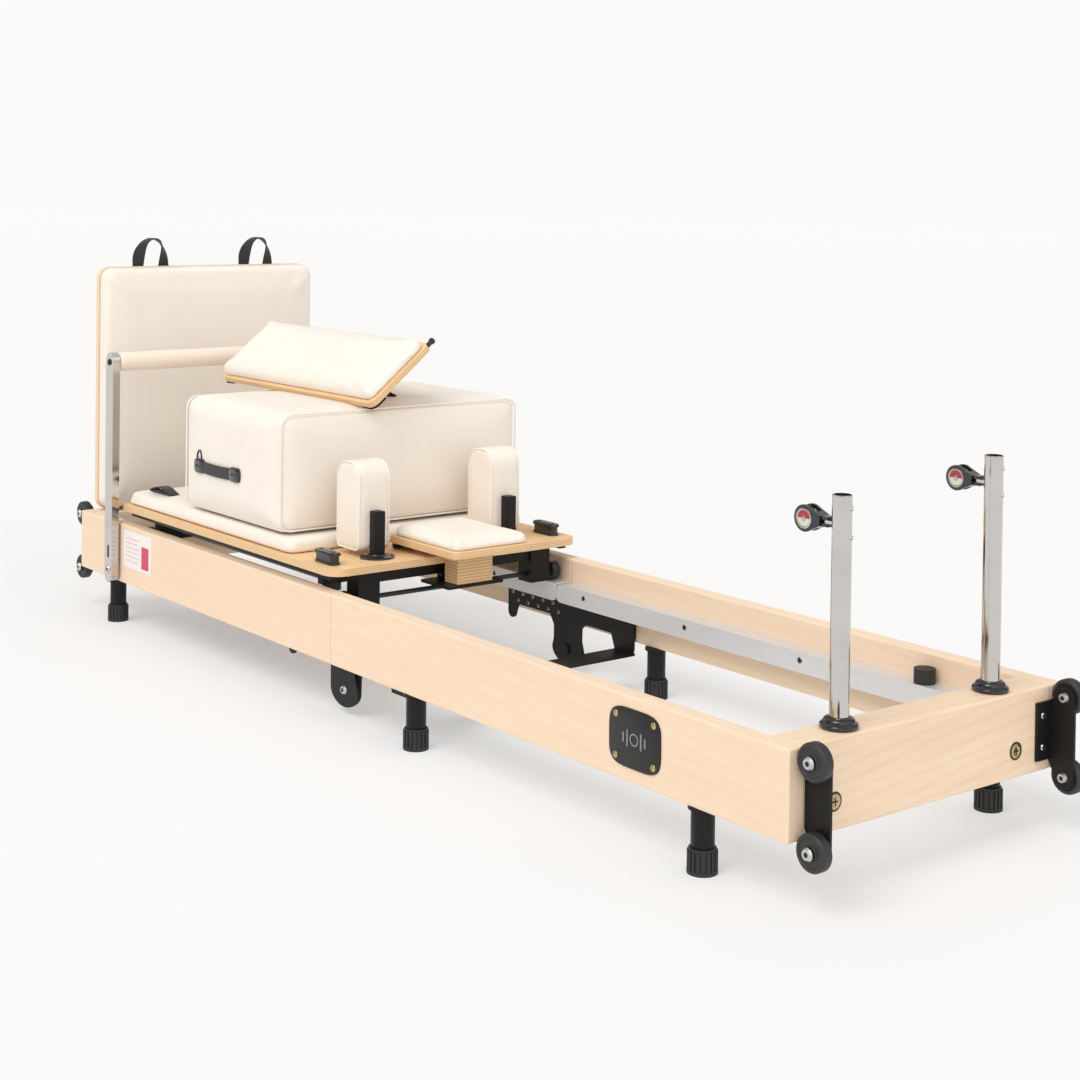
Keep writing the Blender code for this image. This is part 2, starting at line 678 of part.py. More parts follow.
def pulley_sheave(name, side, top, finish):
    """A grooved sheave on the block's pin."""
    centre = (POST_X - PULLEY_REACH, side * POST_Y, top - PULLEY_BELOW_TOP)
    half = PULLEY_THICKNESS / 2 - PULLEY_CHEEK - RUN
    bore = SHEAVE_PIN_RADIUS + RUN
    groove = SHEAVE_RADIUS - SHEAVE_GROOVE
    profile = [
        (bore, -half),
        (SHEAVE_RADIUS, -half),
        (SHEAVE_RADIUS, -half + 0.001),
        (groove, -0.0015),
        (groove, 0.0015),
        (SHEAVE_RADIUS, half - 0.001),
        (SHEAVE_RADIUS, half),
        (bore, half),
    ]
    return turned(name, profile, "Y", centre, finish, ring=True)


def post_collar(name, side, finish):
    """A flared rubber ring around the post, on the top of the end board."""
    bore = POST_RADIUS + RUN
    profile = [
        (bore, GAP),
        (COLLAR_RADIUS - 0.002, GAP),
        (COLLAR_RADIUS, 0.006),
        (COLLAR_RADIUS - 0.006, 0.013),
        (POST_RADIUS + 0.008, 0.017),
        (POST_RADIUS + 0.005, COLLAR_HEIGHT),
        (bore, COLLAR_HEIGHT),
    ]
    centre = (POST_X, side * POST_Y, FRAME_TOP)
    return turned(name, profile, "Z", centre, finish, steps=32, ring=True)


# ---------------------------------------------------------------- carriage
def column_places():
    """Name, side and X of the four columns that carry the roller axles."""
    for end_name, x in (("front", FRONT_ROLLER_X), ("rear", REAR_ROLLER_X)):
        for side_name, side in SIDES:
            yield end_name + "_" + side_name, side, x


def carriage_chassis(name, finish):
    """Beams and cross members under the deck, with roller columns and the spring anchor."""
    top = DECK_BOTTOM - GAP
    under = top - BEAM_HEIGHT
    half = BEAM_WIDTH / 2
    back = DECK_REAR_X + 0.02
    front = DECK_FRONT_X - 0.02
    low = (back, -BEAM_Y - half, under)
    made = block(name, low, (front, -BEAM_Y + half, top), finish)
    members = [block(name + "_far_beam", (back, BEAM_Y - half, under), (front, BEAM_Y + half, top))]
    reach = BEAM_Y + half - 0.004
    crossings = (("front", FRONT_ROLLER_X), ("rear", REAR_ROLLER_X), ("anchor", SPRING_ANCHOR_X))
    for label, x in crossings:
        low = (x - 0.016, -reach, under + 0.001)
        high = (x + 0.016, reach, top - 0.001)
        members.append(block(name + "_cross_" + label, low, high))
    for label, side, x in column_places():
        inner = side * (BEAM_Y - half + 0.002)
        outer = side * (TRACK_FACE_Y - COLUMN_TRACK_CLEARANCE)
        low_y, high_y = between(inner, outer)
        low = (x - COLUMN_LENGTH / 2, low_y, ROLLER_Z - 0.016)
        high = (x + COLUMN_LENGTH / 2, high_y, top - 0.0005)
        column = block(name + "_column_" + label, low, high)
        bore_y = (low_y + high_y) / 2
        cut(column, rod(name + "_bore_" + label, AXLE_RADIUS + RUN, "Y", (x, bore_y, ROLLER_Z), 0.1))
        members.append(column)
    anchor = SPRING_ANCHOR_LENGTH / 2
    low_z = SPRING_HEIGHT - SPRING_RADIUS
    low = (SPRING_ANCHOR_X - anchor, -SPRING_Y - 0.03, low_z)
    high = (SPRING_ANCHOR_X + anchor, SPRING_Y + 0.03, under + 0.004)
    members.append(block(name + "_spring_anchor", low, high))
    plate_top = BLOCK_TOP - BLOCK_HEIGHT - GAP
    low = (FRONT_ROLLER_X - 0.012, -0.07, plate_top - PLATE_THICKNESS)
    high = (DECK_FRONT_X + BLOCK_LENGTH + 0.004, 0.07, plate_top)
    members.append(block(name + "_block_plate", low, high))
    low = (FRONT_ROLLER_X - 0.010, -0.03, plate_top - 0.004)
    high = (FRONT_ROLLER_X + 0.010, 0.03, under + 0.004)
    members.append(block(name + "_plate_hanger", low, high))
    return join(made, *members)


def roller_axle(name, x, finish):
    """A through axle with a roller fixed on each end."""
    inner = ROLLER_Y - ROLLER_WIDTH / 2
    outer = ROLLER_Y + ROLLER_WIDTH / 2
    chamfer = 0.002
    half_profile = [
        (AXLE_RADIUS, inner),
        (ROLLER_RADIUS - chamfer, inner),
        (ROLLER_RADIUS, inner + chamfer),
        (ROLLER_RADIUS, outer - chamfer),
        (ROLLER_RADIUS - chamfer, outer),
        (0, outer),
    ]
    mirrored = [(radius, -along) for radius, along in reversed(half_profile)]
    return turned(name, mirrored + half_profile, "Y", (x, 0, ROLLER_Z), finish)


def shoulder_rest(name, side, finish):
    """An arch-topped pad on a square post with a round flange."""
    y = side * SHOULDER_Y
    front = SHOULDER_POST_X - SHOULDER_POST_SIZE / 2 + 0.002
    back = front - SHOULDER_LENGTH
    low_z = DECK_HEIGHT + SHOULDER_LIFT
    high_z = low_z + SHOULDER_HEIGHT
    radii = (0.012, 0.012, SHOULDER_LENGTH / 2 - 0.001, SHOULDER_LENGTH / 2 - 0.001)
    outline = rounded_rectangle((back, low_z), (front, high_z), radii, 6)
    half = SHOULDER_WIDTH / 2
    made = prism(name, outline, "Y", y - half, y + half, finish)
    post = SHOULDER_POST_SIZE / 2
    base = DECK_HEIGHT + GAP
    low = (SHOULDER_POST_X - post, y - post, base + 0.001)
    high = (SHOULDER_POST_X + post, y + post, DECK_HEIGHT + SHOULDER_POST_HEIGHT)
    bar = block(name + "_post", low, high)
    flange_z = base + SHOULDER_FLANGE_HEIGHT / 2
    flange_centre = (SHOULDER_POST_X, y, flange_z)
    flange = rod(name + "_flange", SHOULDER_FLANGE_RADIUS, "Z", flange_centre, SHOULDER_FLANGE_HEIGHT)
    return join(made, bar, flange)


def headrest(name, finish):
    """A ply board with its pad and the two hinge barrels at its rear edge."""
    half = HEADREST_WIDTH / 2
    board_top = HEADREST_BOTTOM + HEADREST_BOARD
    low = (HEADREST_REAR_X, -half, HEADREST_BOTTOM)
    high = (HEADREST_FRONT_X, half, board_top)
    made = block(name, low, high, finish, origin=(BARREL_X, 0, BARREL_Z))
    margin = HEADREST_PAD_MARGIN
    low = (HEADREST_REAR_X + margin, -half + margin, board_top - 0.001)
    high = (HEADREST_FRONT_X - margin, half - margin, board_top + HEADREST_PAD)
    pad = block(name + "_pad", low, high)
    round_edges(pad, 0.010)
    join(made, pad)
    for side_name, side in SIDES:
        centre = (BARREL_X, side * HEADREST_BARREL_Y, BARREL_Z)
        barrel = rod(name + "_barrel_" + side_name, HEADREST_BARREL_RADIUS, "Y", centre,
                     HEADREST_BARREL_LENGTH)
        join(made, barrel)
    return made


# ---------------------------------------------------------------- jump board and footbar
def jump_board(name, finish):
    """A ply panel with two tabs below and two strap loops above."""
    back = JUMP_BOARD_FACE_X - JUMP_BOARD_PLY
    half = JUMP_BOARD_WIDTH / 2
    top = FRAME_TOP + JUMP_BOARD_HEIGHT
    radii = (0.004, 0.004, JUMP_BOARD_CORNER, JUMP_BOARD_CORNER)
    outline = rounded_rectangle((-half, FRAME_TOP + GAP), (half, top), radii)
    made = prism(name, outline, "X", back, JUMP_BOARD_FACE_X, finish)
    for side_name, side in SIDES:
        y = side * TAB_Y
        low = (back + 0.0002, y - TAB_WIDTH / 2, FRAME_TOP - TAB_DEPTH)
        high = (JUMP_BOARD_FACE_X - 0.0002, y + TAB_WIDTH / 2, FRAME_TOP + 0.02)
        join(made, block(name + "_tab_" + side_name, low, high))
        join(made, strap_loop(name + "_strap_" + side_name, side * STRAP_Y, top))
    return made


def strap_loop(name, y, top):
    """An upright webbing arch that starts inside the top of the panel."""
    radius = STRAP_WIDTH / 2
    spring_line = top + STRAP_HEIGHT - radius
    foot = top - 0.01
    outside = arc((y, spring_line), radius, 0, 180, 12)
    inside = arc((y, spring_line), radius - STRAP_THICKNESS, 180, 0, 12)
    outline = [(y + radius, foot)] + outside + [(y - radius, foot)]
    outline += [(y - radius + STRAP_THICKNESS, foot)] + inside
    outline += [(y + radius - STRAP_THICKNESS, foot)]
    middle = JUMP_BOARD_FACE_X - JUMP_BOARD_PLY / 2
    return prism(name, outline, "X", middle - STRAP_DEPTH / 2, middle + STRAP_DEPTH / 2)


def tab_slots():
    """Cutters for the slots in the foot end board that take the panel's tabs."""
    clearance = 0.001
    slots = []
    for side_name, side in SIDES:
        y = side * TAB_Y
        low_x = JUMP_BOARD_FACE_X - JUMP_BOARD_PLY - clearance
        low = (low_x, y - TAB_WIDTH / 2 - clearance, FRAME_TOP - TAB_DEPTH - clearance)
        high_x = JUMP_BOARD_FACE_X + clearance
        high = (high_x, y + TAB_WIDTH / 2 + clearance, FRAME_TOP + 0.02)
        slots.append(block("tab_slot_" + side_name, low, high))
    return slots


def footbar_bow(name, finish):
    """Two flat oval uprights joined by a tube, with pivot pins that enter the rails."""
    height = FOOTBAR_TOP - FOOTBAR_BOTTOM
    half = UPRIGHT_LENGTH / 2
    pivot_place = (FOOTBAR_X, 0, FOOTBAR_PIVOT_Z)
    tube_length = 2 * UPRIGHT_Y
    made = rod(name, FOOTBAR_TUBE_RADIUS, "Y", (FOOTBAR_X, 0, GRIP_Z), tube_length, finish)
    middle = FOOTBAR_BOTTOM + height / 2
    for side_name, side in SIDES:
        low = (FOOTBAR_X - half, middle - height / 2)
        high = (FOOTBAR_X + half, middle + height / 2)
        outline = rounded_rectangle(low, high, (half - 0.0005,) * 4, 8)
        y = side * UPRIGHT_Y
        side_range = (y - UPRIGHT_THICKNESS / 2, y + UPRIGHT_THICKNESS / 2)
        upright = prism(name + "_upright_" + side_name, outline, "Y", *side_range)
        pin_y = between(side * (INNER_Y + 0.002), y)
        pin_centre = (FOOTBAR_X, sum(pin_y) / 2, FOOTBAR_PIVOT_Z)
        pin = rod(name + "_pin_" + side_name, FOOTBAR_PIN_RADIUS, "Y", pin_centre, pin_y[1] - pin_y[0])
        join(made, upright, pin)
    return made, pivot_place


def footbar_grip(name, finish):
    """A padded sleeve on the footbar's tube."""
    half = UPRIGHT_Y - UPRIGHT_THICKNESS / 2 - GAP
    bore = FOOTBAR_TUBE_RADIUS + GAP
    profile = [
        (bore, -half),
        (GRIP_RADIUS - 0.004, -half),
        (GRIP_RADIUS, -half + 0.004),
        (GRIP_RADIUS, half - 0.004),
        (GRIP_RADIUS - 0.004, half),
        (bore, half),
    ]
    return turned(name, profile, "Y", (FOOTBAR_X, 0, GRIP_Z), finish, ring=True)


# ---------------------------------------------------------------- standing platform
def standing_platform(name, finish):
    """Board and pad, lying flat here with the lower edge of the board on the X axis."""
    low = (PLATFORM_FRONT_X - PLATFORM_LENGTH, 0, 0)
    high = (PLATFORM_FRONT_X, PLATFORM_WIDTH, PLATFORM_BOARD)
    made = block(name, low, high, finish, origin=(0, 0, 0))
    margin = PLATFORM_PAD_MARGIN
    low = (low[0] + margin, margin, PLATFORM_BOARD - 0.001)
    high = (high[0] - margin, PLATFORM_WIDTH - margin, PLATFORM_BOARD + PLATFORM_PAD)
    pad = block(name + "_pad", low, high)
    round_edges(pad, 0.010)
    join(made, pad)
    return made, pad


def platform_prop(name, finish):
    """A U-shaped stand, drawn hanging straight down from its pivot on the X axis."""
    half = PROP_WIDTH / 2
    bar = PROP_BAR / 2
    made = rod(name, bar, "X", (PROP_X, 0, 0), PROP_WIDTH, finish, steps=16)
    parts = [rod(name + "_foot", bar, "X", (PROP_X, 0, -PROP_LENGTH), PROP_WIDTH, steps=16)]
    for side_name, side in SIDES:
        x = PROP_X + side * (half - 0.010)
        thin = bar - 0.001
        low = (x - 0.006, -thin, -PROP_LENGTH)
        high = (x + 0.006, thin, 0)
        parts.append(block(name + "_leg_" + side_name, low, high))
    join(made, *parts)
    return made, parts


def platform_places():
    """Where the lower edge, the prop's pivot and the prop's lean are."""
    edge = Vector((0, PLATFORM_EDGE_Y, BOX_TOP + GAP))
    along = Vector((0, math.cos(PLATFORM_TILT), math.sin(PLATFORM_TILT)))
    out = Vector((0, -math.sin(PLATFORM_TILT), math.cos(PLATFORM_TILT)))
    hinge = edge + along * PROP_LENGTH - out * PROP_OFFSET
    rise = hinge.z - (BOX_TOP + GAP + PROP_BAR / 2)
    lean = math.acos(rise / PROP_LENGTH)
    return edge, hinge, lean


# ---------------------------------------------------------------- assembly
def build_frame(timber, metal, steel, rubber):
    """Everything of the two frame halves, with the front half on the fold pivot."""
    seams = (-END_X, SEAM_X - GAP), (SEAM_X + GAP, END_X)
    front_pieces = []
    for side_name, side in SIDES:
        rear = side_rail("rear_rail_" + side_name, side, *seams[0], timber)
        hole_centre = (FOOTBAR_X, side * (INNER_Y + OUTER_Y) / 2, FOOTBAR_PIVOT_Z)
        hole_radius = FOOTBAR_PIN_RADIUS + RUN
        cut(rear, rod("footbar_hole_" + side_name, hole_radius, "Y", hole_centre, 0.06))
        front_pieces.append(side_rail("front_rail_" + side_name, side, *seams[1], timber))
        rear_track = (-BOARD_INNER_X + GAP, SEAM_X - GAP)
        front_track = (SEAM_X + GAP, BOARD_INNER_X - GAP)
        track("rear_track_" + side_name, side, *rear_track, True, metal)
        front_pieces.append(track("front_track_" + side_name, side, *front_track, False, metal))
        leg("rear_leg_" + side_name, REAR_LEG_X, side * LEG_Y, steel)
        middle = leg("middle_leg_" + side_name, MIDDLE_LEG_X, side * LEG_Y, steel)
        head_x = NEAR_HEAD_LEG_X if side < 0 else FAR_HEAD_LEG_X
        head = leg("head_leg_" + side_name, head_x, side * LEG_Y, steel)
        rear_hinge_plate("rear_hinge_plate_" + side_name, side, steel)
        wheel_bracket("rear_wheel_bracket_" + side_name, -1, side, steel)
        bracket = wheel_bracket("head_wheel_bracket_" + side_name, 1, side, steel)
        stop_centre = (STOP_X, side * ROLLER_Y, TRACK_TOP + GAP + STOP_HEIGHT / 2)
        stop = rod("track_stop_" + side_name, STOP_RADIUS, "Z", stop_centre, STOP_HEIGHT, rubber)
        collar = post_collar("post_collar_" + side_name, side, rubber)
        front_pieces += [middle, head, bracket, stop, collar]
    foot_board = end_board("foot_end_board", -1, timber)
    cut(foot_board, *tab_slots())
    head_board = end_board("head_end_board", 1, timber)
    for side_name, side in SIDES:
        centre = (POST_X, side * POST_Y, (FRAME_BOTTOM + FRAME_TOP) / 2)
        cut(head_board, rod("post_hole_" + side_name, POST_RADIUS + RUN, "Z", centre, 0.2, steps=32))
    yoke = hinge_yoke("hinge_yoke", steel)
    carry(pivot("fold_pivot", (SEAM_X, 0, PIVOT_Z)), *front_pieces, head_board, yoke)


def build_springs(steel, spring_steel):
    """The bar on the foot end board, and the springs to the carriage's anchor."""
    half_width = TRACK_FACE_Y - 0.004
    bar_front = -BOARD_INNER_X + GAP + SPRING_BAR_DEPTH
    low_z = SPRING_HEIGHT - SPRING_BAR_HEIGHT / 2
    low = (-BOARD_INNER_X + GAP, -half_width, low_z)
    high = (bar_front, half_width, low_z + SPRING_BAR_HEIGHT)
    block("spring_bar", low, high, steel, 0.002)
    start = bar_front + GAP
    end = SPRING_ANCHOR_X - SPRING_ANCHOR_LENGTH / 2 - GAP
    for side_name, side in SIDES:
        centre = ((start + end) / 2, side * SPRING_Y, SPRING_HEIGHT)
        rod("spring_" + side_name, SPRING_RADIUS, "X", centre, end - start, spring_steel)


def build_posts(chrome, steel, sheave_finish):
    """Posts, pulley blocks and sheaves, each on its own axis."""
    for (side_name, side), top in zip(SIDES, (NEAR_POST_TOP, FAR_POST_TOP)):
        post = riser_post("riser_post_" + side_name, side, top, chrome)
        body = pulley_block("pulley_block_" + side_name, side, top, steel)
        sheave = pulley_sheave("pulley_sheave_" + side_name, side, top, sheave_finish)
        carry(post, body)
        carry(body, sheave)


def build_wheels(rubber):
    """Two transport wheels on each of the four corner brackets."""
    for end_name, end in (("rear", -1), ("head", 1)):
        for side_name, side in SIDES:
            for level, z in (("upper", UPPER_WHEEL_Z), ("lower", LOWER_WHEEL_Z)):
                name = "_".join((end_name, "wheel", side_name, level))
                transport_wheel(name, end, side, z, rubber)


def build_carriage(ply, steel, leather, timber, roller_finish):
    """The carriage with its shoulder rests, rollers, headrest and headrest block."""
    half = DECK_WIDTH / 2
    radii = (0.012, DECK_CORNER, DECK_CORNER, 0.012)
    outline = rounded_rectangle((DECK_REAR_X, -half), (DECK_FRONT_X, half), radii)
    deck = prism("carriage_deck", outline, "Z", DECK_BOTTOM, DECK_HEIGHT, ply)
    margin = DECK_PAD_MARGIN
    low = (DECK_REAR_X + margin, -half + margin, DECK_HEIGHT + GAP)
    high = (DECK_FRONT_X - DECK_PAD_SETBACK, half - margin, PAD_TOP)
    pad = block("carriage_pad", low, high, leather, 0.012)
    chassis = carriage_chassis("carriage_chassis", steel)
    low = (DECK_FRONT_X + GAP, -BLOCK_WIDTH / 2, BLOCK_TOP - BLOCK_HEIGHT)
    high = (DECK_FRONT_X + GAP + BLOCK_LENGTH, BLOCK_WIDTH / 2, BLOCK_TOP)
    support = block("headrest_block", low, high, timber, 0.0015)
    rests = [shoulder_rest("shoulder_rest_" + name, side, leather) for name, side in SIDES]
    front_axle = roller_axle("front_roller_axle", FRONT_ROLLER_X, roller_finish)
    rear_axle = roller_axle("rear_roller_axle", REAR_ROLLER_X, roller_finish)
    head = headrest("headrest", leather)
    carry(pivot("carriage_pivot", (0, 0, TRACK_TOP)), deck, pad, chassis, support, *rests,
          front_axle, rear_axle, head)


def build_box_and_platform(leather, ply, steel):
    """The long box, and the platform that leans on top of it on its prop."""
    half = BOX_WIDTH / 2
    low = (BOX_FRONT_X - BOX_LENGTH, -half, BOX_BOTTOM)
    high = (BOX_FRONT_X, half, BOX_TOP)
    block("long_box", low, high, leather, BOX_EDGE)
    edge, hinge, lean = platform_places()
    board, pad = standing_platform("standing_platform", ply)
    tilted = pivot("platform_edge", edge, PLATFORM_TILT)
    for piece in (board, pad):
        piece.parent = tilted
    prop, parts = platform_prop("platform_prop", steel)
    hanging = pivot("prop_pivot", hinge, lean)
    for piece in (prop, *parts):
        piece.parent = hanging


def build_jump_board(ply, leather):
    """The panel that stands on the foot end board, and its pad."""
    board = jump_board("jump_board", ply)
    margin = JUMP_BOARD_PAD_MARGIN
    half = JUMP_BOARD_WIDTH / 2 - margin
    low = (-half, FRAME_TOP + 0.003)
    high = (half, FRAME_TOP + JUMP_BOARD_HEIGHT - margin)
    corner = JUMP_BOARD_CORNER - margin
    outline = rounded_rectangle(low, high, (0.012, 0.012, corner, corner))
    start = JUMP_BOARD_FACE_X + GAP
    pad = prism("jump_board_pad", outline, "X", start, start + JUMP_BOARD_PAD, leather)
    round_edges(pad, 0.008)
    carry(pivot("jump_board_lift", (JUMP_BOARD_FACE_X, 0, FRAME_TOP)), board, pad)


def build_footbar(chrome, leather):
    """The bow and its padded grip, on the footbar's pivot."""
    bow, place = footbar_bow("footbar_bow", chrome)
    grip = footbar_grip("footbar_grip", leather)
    carry(pivot("footbar_pivot", place), bow, grip)


def main():
    for old in list(bpy.data.objects):
        bpy.data.objects.remove(old, do_unlink=True)
    timber = material("maple_boards", (0.78, 0.62, 0.44), 0.45)
    ply = material("birch_plywood", (0.74, 0.52, 0.28), 0.45)
    steel = material("black_powder_coat", (0.025, 0.025, 0.027), 0.45)
    chrome = material("chromed_tube", (0.62, 0.61, 0.59), 0.18, 1.0)
    metal = material("anodised_track", (0.62, 0.63, 0.66), 0.35, 1.0)
    rubber = material("black_rubber", (0.02, 0.02, 0.02), 0.7)
    leather = material("cream_leather", (0.80, 0.73, 0.62), 0.5)
    spring_steel = material("spring_wire", (0.45, 0.45, 0.45), 0.3, 1.0)
    roller_finish = material("roller_nylon", (0.08, 0.08, 0.08), 0.5)
    build_frame(timber, metal, steel, rubber)
    build_springs(steel, spring_steel)
    build_posts(chrome, steel, roller_finish)
    build_wheels(rubber)
    build_carriage(ply, steel, leather, timber, roller_finish)
    build_box_and_platform(leather, ply, steel)
    build_jump_board(ply, leather)
    build_footbar(chrome, leather)


main()
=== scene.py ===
"""A folding Pilates reformer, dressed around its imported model: timber frame, carriage, pads and fittings.

Metres, +Z up. Near is -Y, far is +Y, and the pulley end is at +X.
"""
import math

import bmesh
import bpy
from mathutils import Matrix, Vector


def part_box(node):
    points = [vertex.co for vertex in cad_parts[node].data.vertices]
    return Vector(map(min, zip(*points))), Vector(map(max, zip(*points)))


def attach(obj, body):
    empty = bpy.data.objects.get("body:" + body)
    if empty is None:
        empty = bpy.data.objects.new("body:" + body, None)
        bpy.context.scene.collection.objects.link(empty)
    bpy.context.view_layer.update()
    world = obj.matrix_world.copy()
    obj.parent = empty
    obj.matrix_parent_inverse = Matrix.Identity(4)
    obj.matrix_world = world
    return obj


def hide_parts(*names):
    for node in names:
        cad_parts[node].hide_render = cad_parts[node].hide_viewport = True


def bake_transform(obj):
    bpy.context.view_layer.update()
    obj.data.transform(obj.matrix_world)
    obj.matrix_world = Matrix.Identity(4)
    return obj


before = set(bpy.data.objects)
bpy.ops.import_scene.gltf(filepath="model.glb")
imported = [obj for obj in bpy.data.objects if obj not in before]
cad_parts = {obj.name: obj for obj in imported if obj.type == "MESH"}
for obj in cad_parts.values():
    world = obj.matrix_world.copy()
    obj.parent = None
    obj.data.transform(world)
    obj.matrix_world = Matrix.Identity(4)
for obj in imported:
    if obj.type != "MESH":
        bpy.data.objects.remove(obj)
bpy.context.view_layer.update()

# ------------------------------------------------------------------------------------------------
# The studio: a camera low at the pulley end, a wide pale floor and soft light from above and the left.
# Dark curtains stand round it that show only in the shine of glossy pieces.
EYE = Vector((3.0926, -2.2987, 1.0605))
YAW, PITCH, ROLL = 0.912073, -0.017244, 0.012305
ahead = Vector((-math.sin(YAW) * math.cos(PITCH), math.cos(YAW) * math.cos(PITCH), math.sin(PITCH)))
right = Vector((math.cos(YAW), math.sin(YAW), 0))
over = right.cross(ahead)
tilted_right = right * math.cos(ROLL) + over * math.sin(ROLL)
tilted_over = over * math.cos(ROLL) - right * math.sin(ROLL)
camera = bpy.data.objects.new("camera", bpy.data.cameras.new("camera"))
camera.data.lens = 62.396
camera.data.shift_x = 0.0204
camera.data.shift_y = -0.2995
facing_ahead = Matrix((tilted_right, tilted_over, -ahead)).transposed().to_4x4()
camera.matrix_world = Matrix.Translation(EYE) @ facing_ahead
bpy.context.scene.collection.objects.link(camera)
bpy.context.scene.camera = camera
bpy.context.scene.view_settings.view_transform = "Standard"


def put(tree, kind, inputs=(), **settings):
    """A new node with its settings, and its inputs given a value or joined to another node's output."""
    made = tree.nodes.new(kind)
    for name, value in settings.items():
        setattr(made, name, value)
    for key, value in dict(inputs).items():
        if isinstance(value, bpy.types.NodeSocket):
            tree.links.new(value, made.inputs[key])
        else:
            made.inputs[key].default_value = value
    return made


world = bpy.data.worlds.new("studio")
world.use_nodes = True
world.node_tree.nodes.clear()
sky_tree = world.node_tree
direction = put(sky_tree, "ShaderNodeTexCoord").outputs["Generated"]
heading = put(sky_tree, "ShaderNodeSeparateXYZ", {"Vector": direction}).outputs
rise = put(sky_tree, "ShaderNodeMapRange", {"Value": heading["Z"], "From Min": -0.1, "From Max": 0.9})
sky = put(sky_tree, "ShaderNodeValToRGB", {"Fac": rise.outputs["Result"]})
sky.color_ramp.elements[0].color = (0.64, 0.595, 0.54, 1)
sky.color_ramp.elements[1].color = (1.0, 1.0, 1.0, 1)
soft = put(sky_tree, "ShaderNodeBackground", {"Color": sky.outputs["Color"], "Strength": 0.82})
seen = put(sky_tree, "ShaderNodeBackground", {"Color": (0.952, 0.954, 0.955, 1), "Strength": 1.0})
compass = put(sky_tree, "ShaderNodeMath", {0: heading["Y"], 1: heading["X"]}, operation="ARCTAN2").outputs[0]
drape_turns = put(sky_tree, "ShaderNodeMath", {0: compass, 1: 5.0, 2: 0.6}, operation="MULTIPLY_ADD").outputs[0]
wave = put(sky_tree, "ShaderNodeMath", {0: drape_turns}, operation="SINE").outputs[0]
drapes = put(sky_tree, "ShaderNodeMapRange", {"Value": wave, "From Min": 0.1, "From Max": 0.8})
rays = put(sky_tree, "ShaderNodeLightPath").outputs
in_shine = put(sky_tree, "ShaderNodeMath", {0: drapes.outputs["Result"], 1: rays["Is Glossy Ray"]},
               operation="MULTIPLY").outputs[0]
curtain = put(sky_tree, "ShaderNodeBackground", {"Color": (0.20, 0.185, 0.17, 1), "Strength": 1.0})
shown = put(sky_tree, "ShaderNodeMixShader", {0: in_shine, 1: soft.outputs[0], 2: curtain.outputs[0]})
whole_sky = put(sky_tree, "ShaderNodeMixShader",
                {0: rays["Is Camera Ray"], 1: shown.outputs[0], 2: seen.outputs[0]})
put(sky_tree, "ShaderNodeOutputWorld", {"Surface": whole_sky.outputs[0]})
bpy.context.scene.world = world
SUNS = (("soft key", 1.50, 38, (0.14, -0.62, 0.78)), ("fill", 0.80, 70, (0.90, -0.12, 0.36)))
for name, energy, angle, from_side in SUNS:
    lamp = bpy.data.objects.new(name, bpy.data.lights.new(name, "SUN"))
    lamp.data.energy = energy
    lamp.data.angle = math.radians(angle)
    lamp.rotation_euler = (-Vector(from_side)).to_track_quat("-Z", "Y").to_euler()
    bpy.context.scene.collection.objects.link(lamp)


def place_piece(name, shape, material, body, stands_for=(), sharp=35):
    """A mesh or bmesh becomes a named piece that rides on a body, shaded smooth up to the sharp angle."""
    if isinstance(shape, bmesh.types.BMesh):
        mesh = bpy.data.meshes.new(name)
        bmesh.ops.recalc_face_normals(shape, faces=shape.faces[:])
        shape.to_mesh(mesh)
        shape.free()
    else:
        mesh = shape
        mesh.name = name
    if material:
        mesh.materials.clear()
        mesh.materials.append(material)
    mesh.shade_smooth()
    mesh.set_sharp_from_angle(angle=math.radians(sharp))
    piece = bpy.data.objects.new(name, mesh)
    bpy.context.scene.collection.objects.link(piece)
    if body:
        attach(piece, body)
    if stands_for:
        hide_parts(*stands_for)
    return piece


def principled(name, **sockets):
    """A material with one Principled shader: its name, its tree and the shader."""
    made = bpy.data.materials.new(name)
    made.use_nodes = True
    shader = made.node_tree.nodes["Principled BSDF"]
    for key, value in sockets.items():
        shader.inputs[key.replace("_", " ").title().replace("Ior", "IOR")].default_value = value
    return made, made.node_tree, shader


floor_paint, floor_tree, floor_shader = principled(
    "studio floor", roughness=0.9, specular_ior_level=0.0, emission_color=(1.0, 0.995, 0.99, 1),
    emission_strength=0.36)
spots = put(floor_tree, "ShaderNodeTexNoise", {"Scale": 3.0, "Detail": 4.0})
shade = put(floor_tree, "ShaderNodeMapRange", {"Value": spots.outputs["Fac"], "To Min": 0.49, "To Max": 0.50})
floor_tree.links.new(shade.outputs["Result"], floor_shader.inputs["Base Color"])
ground = bmesh.new()
bmesh.ops.create_circle(ground, cap_ends=True, radius=60, segments=64)
place_piece("floor", ground, floor_paint, None)

# ------------------------------------------------------------------------------------------------
# Frame: two solid maple rails on each side, butted at the fold, and a thick maple board at each end.
# The boards are planed, lightly rounded and clear-oiled; their grain runs along each board.


def effect(name, inputs, outputs):
    """An empty shader node group with named sockets: the group, its input node and its output node."""
    group = bpy.data.node_groups.new(name, "ShaderNodeTree")
    for label, kind, value in inputs:
        group.interface.new_socket(label, in_out="INPUT", socket_type=kind).default_value = value
    for label, kind in outputs:
        group.interface.new_socket(label, in_out="OUTPUT", socket_type=kind)
    return group, group.nodes.new("NodeGroupInput"), group.nodes.new("NodeGroupOutput")


def calculate(tree, operation, a, b=0.0, c=0.0):
    """One Math node's result."""
    return put(tree, "ShaderNodeMath", {0: a, 1: b, 2: c}, operation=operation).outputs[0]


def stretch(tree, vector, amounts):
    """A vector with each of its parts multiplied."""
    return put(tree, "ShaderNodeVectorMath", {0: vector, 1: amounts}, operation="MULTIPLY").outputs[0]


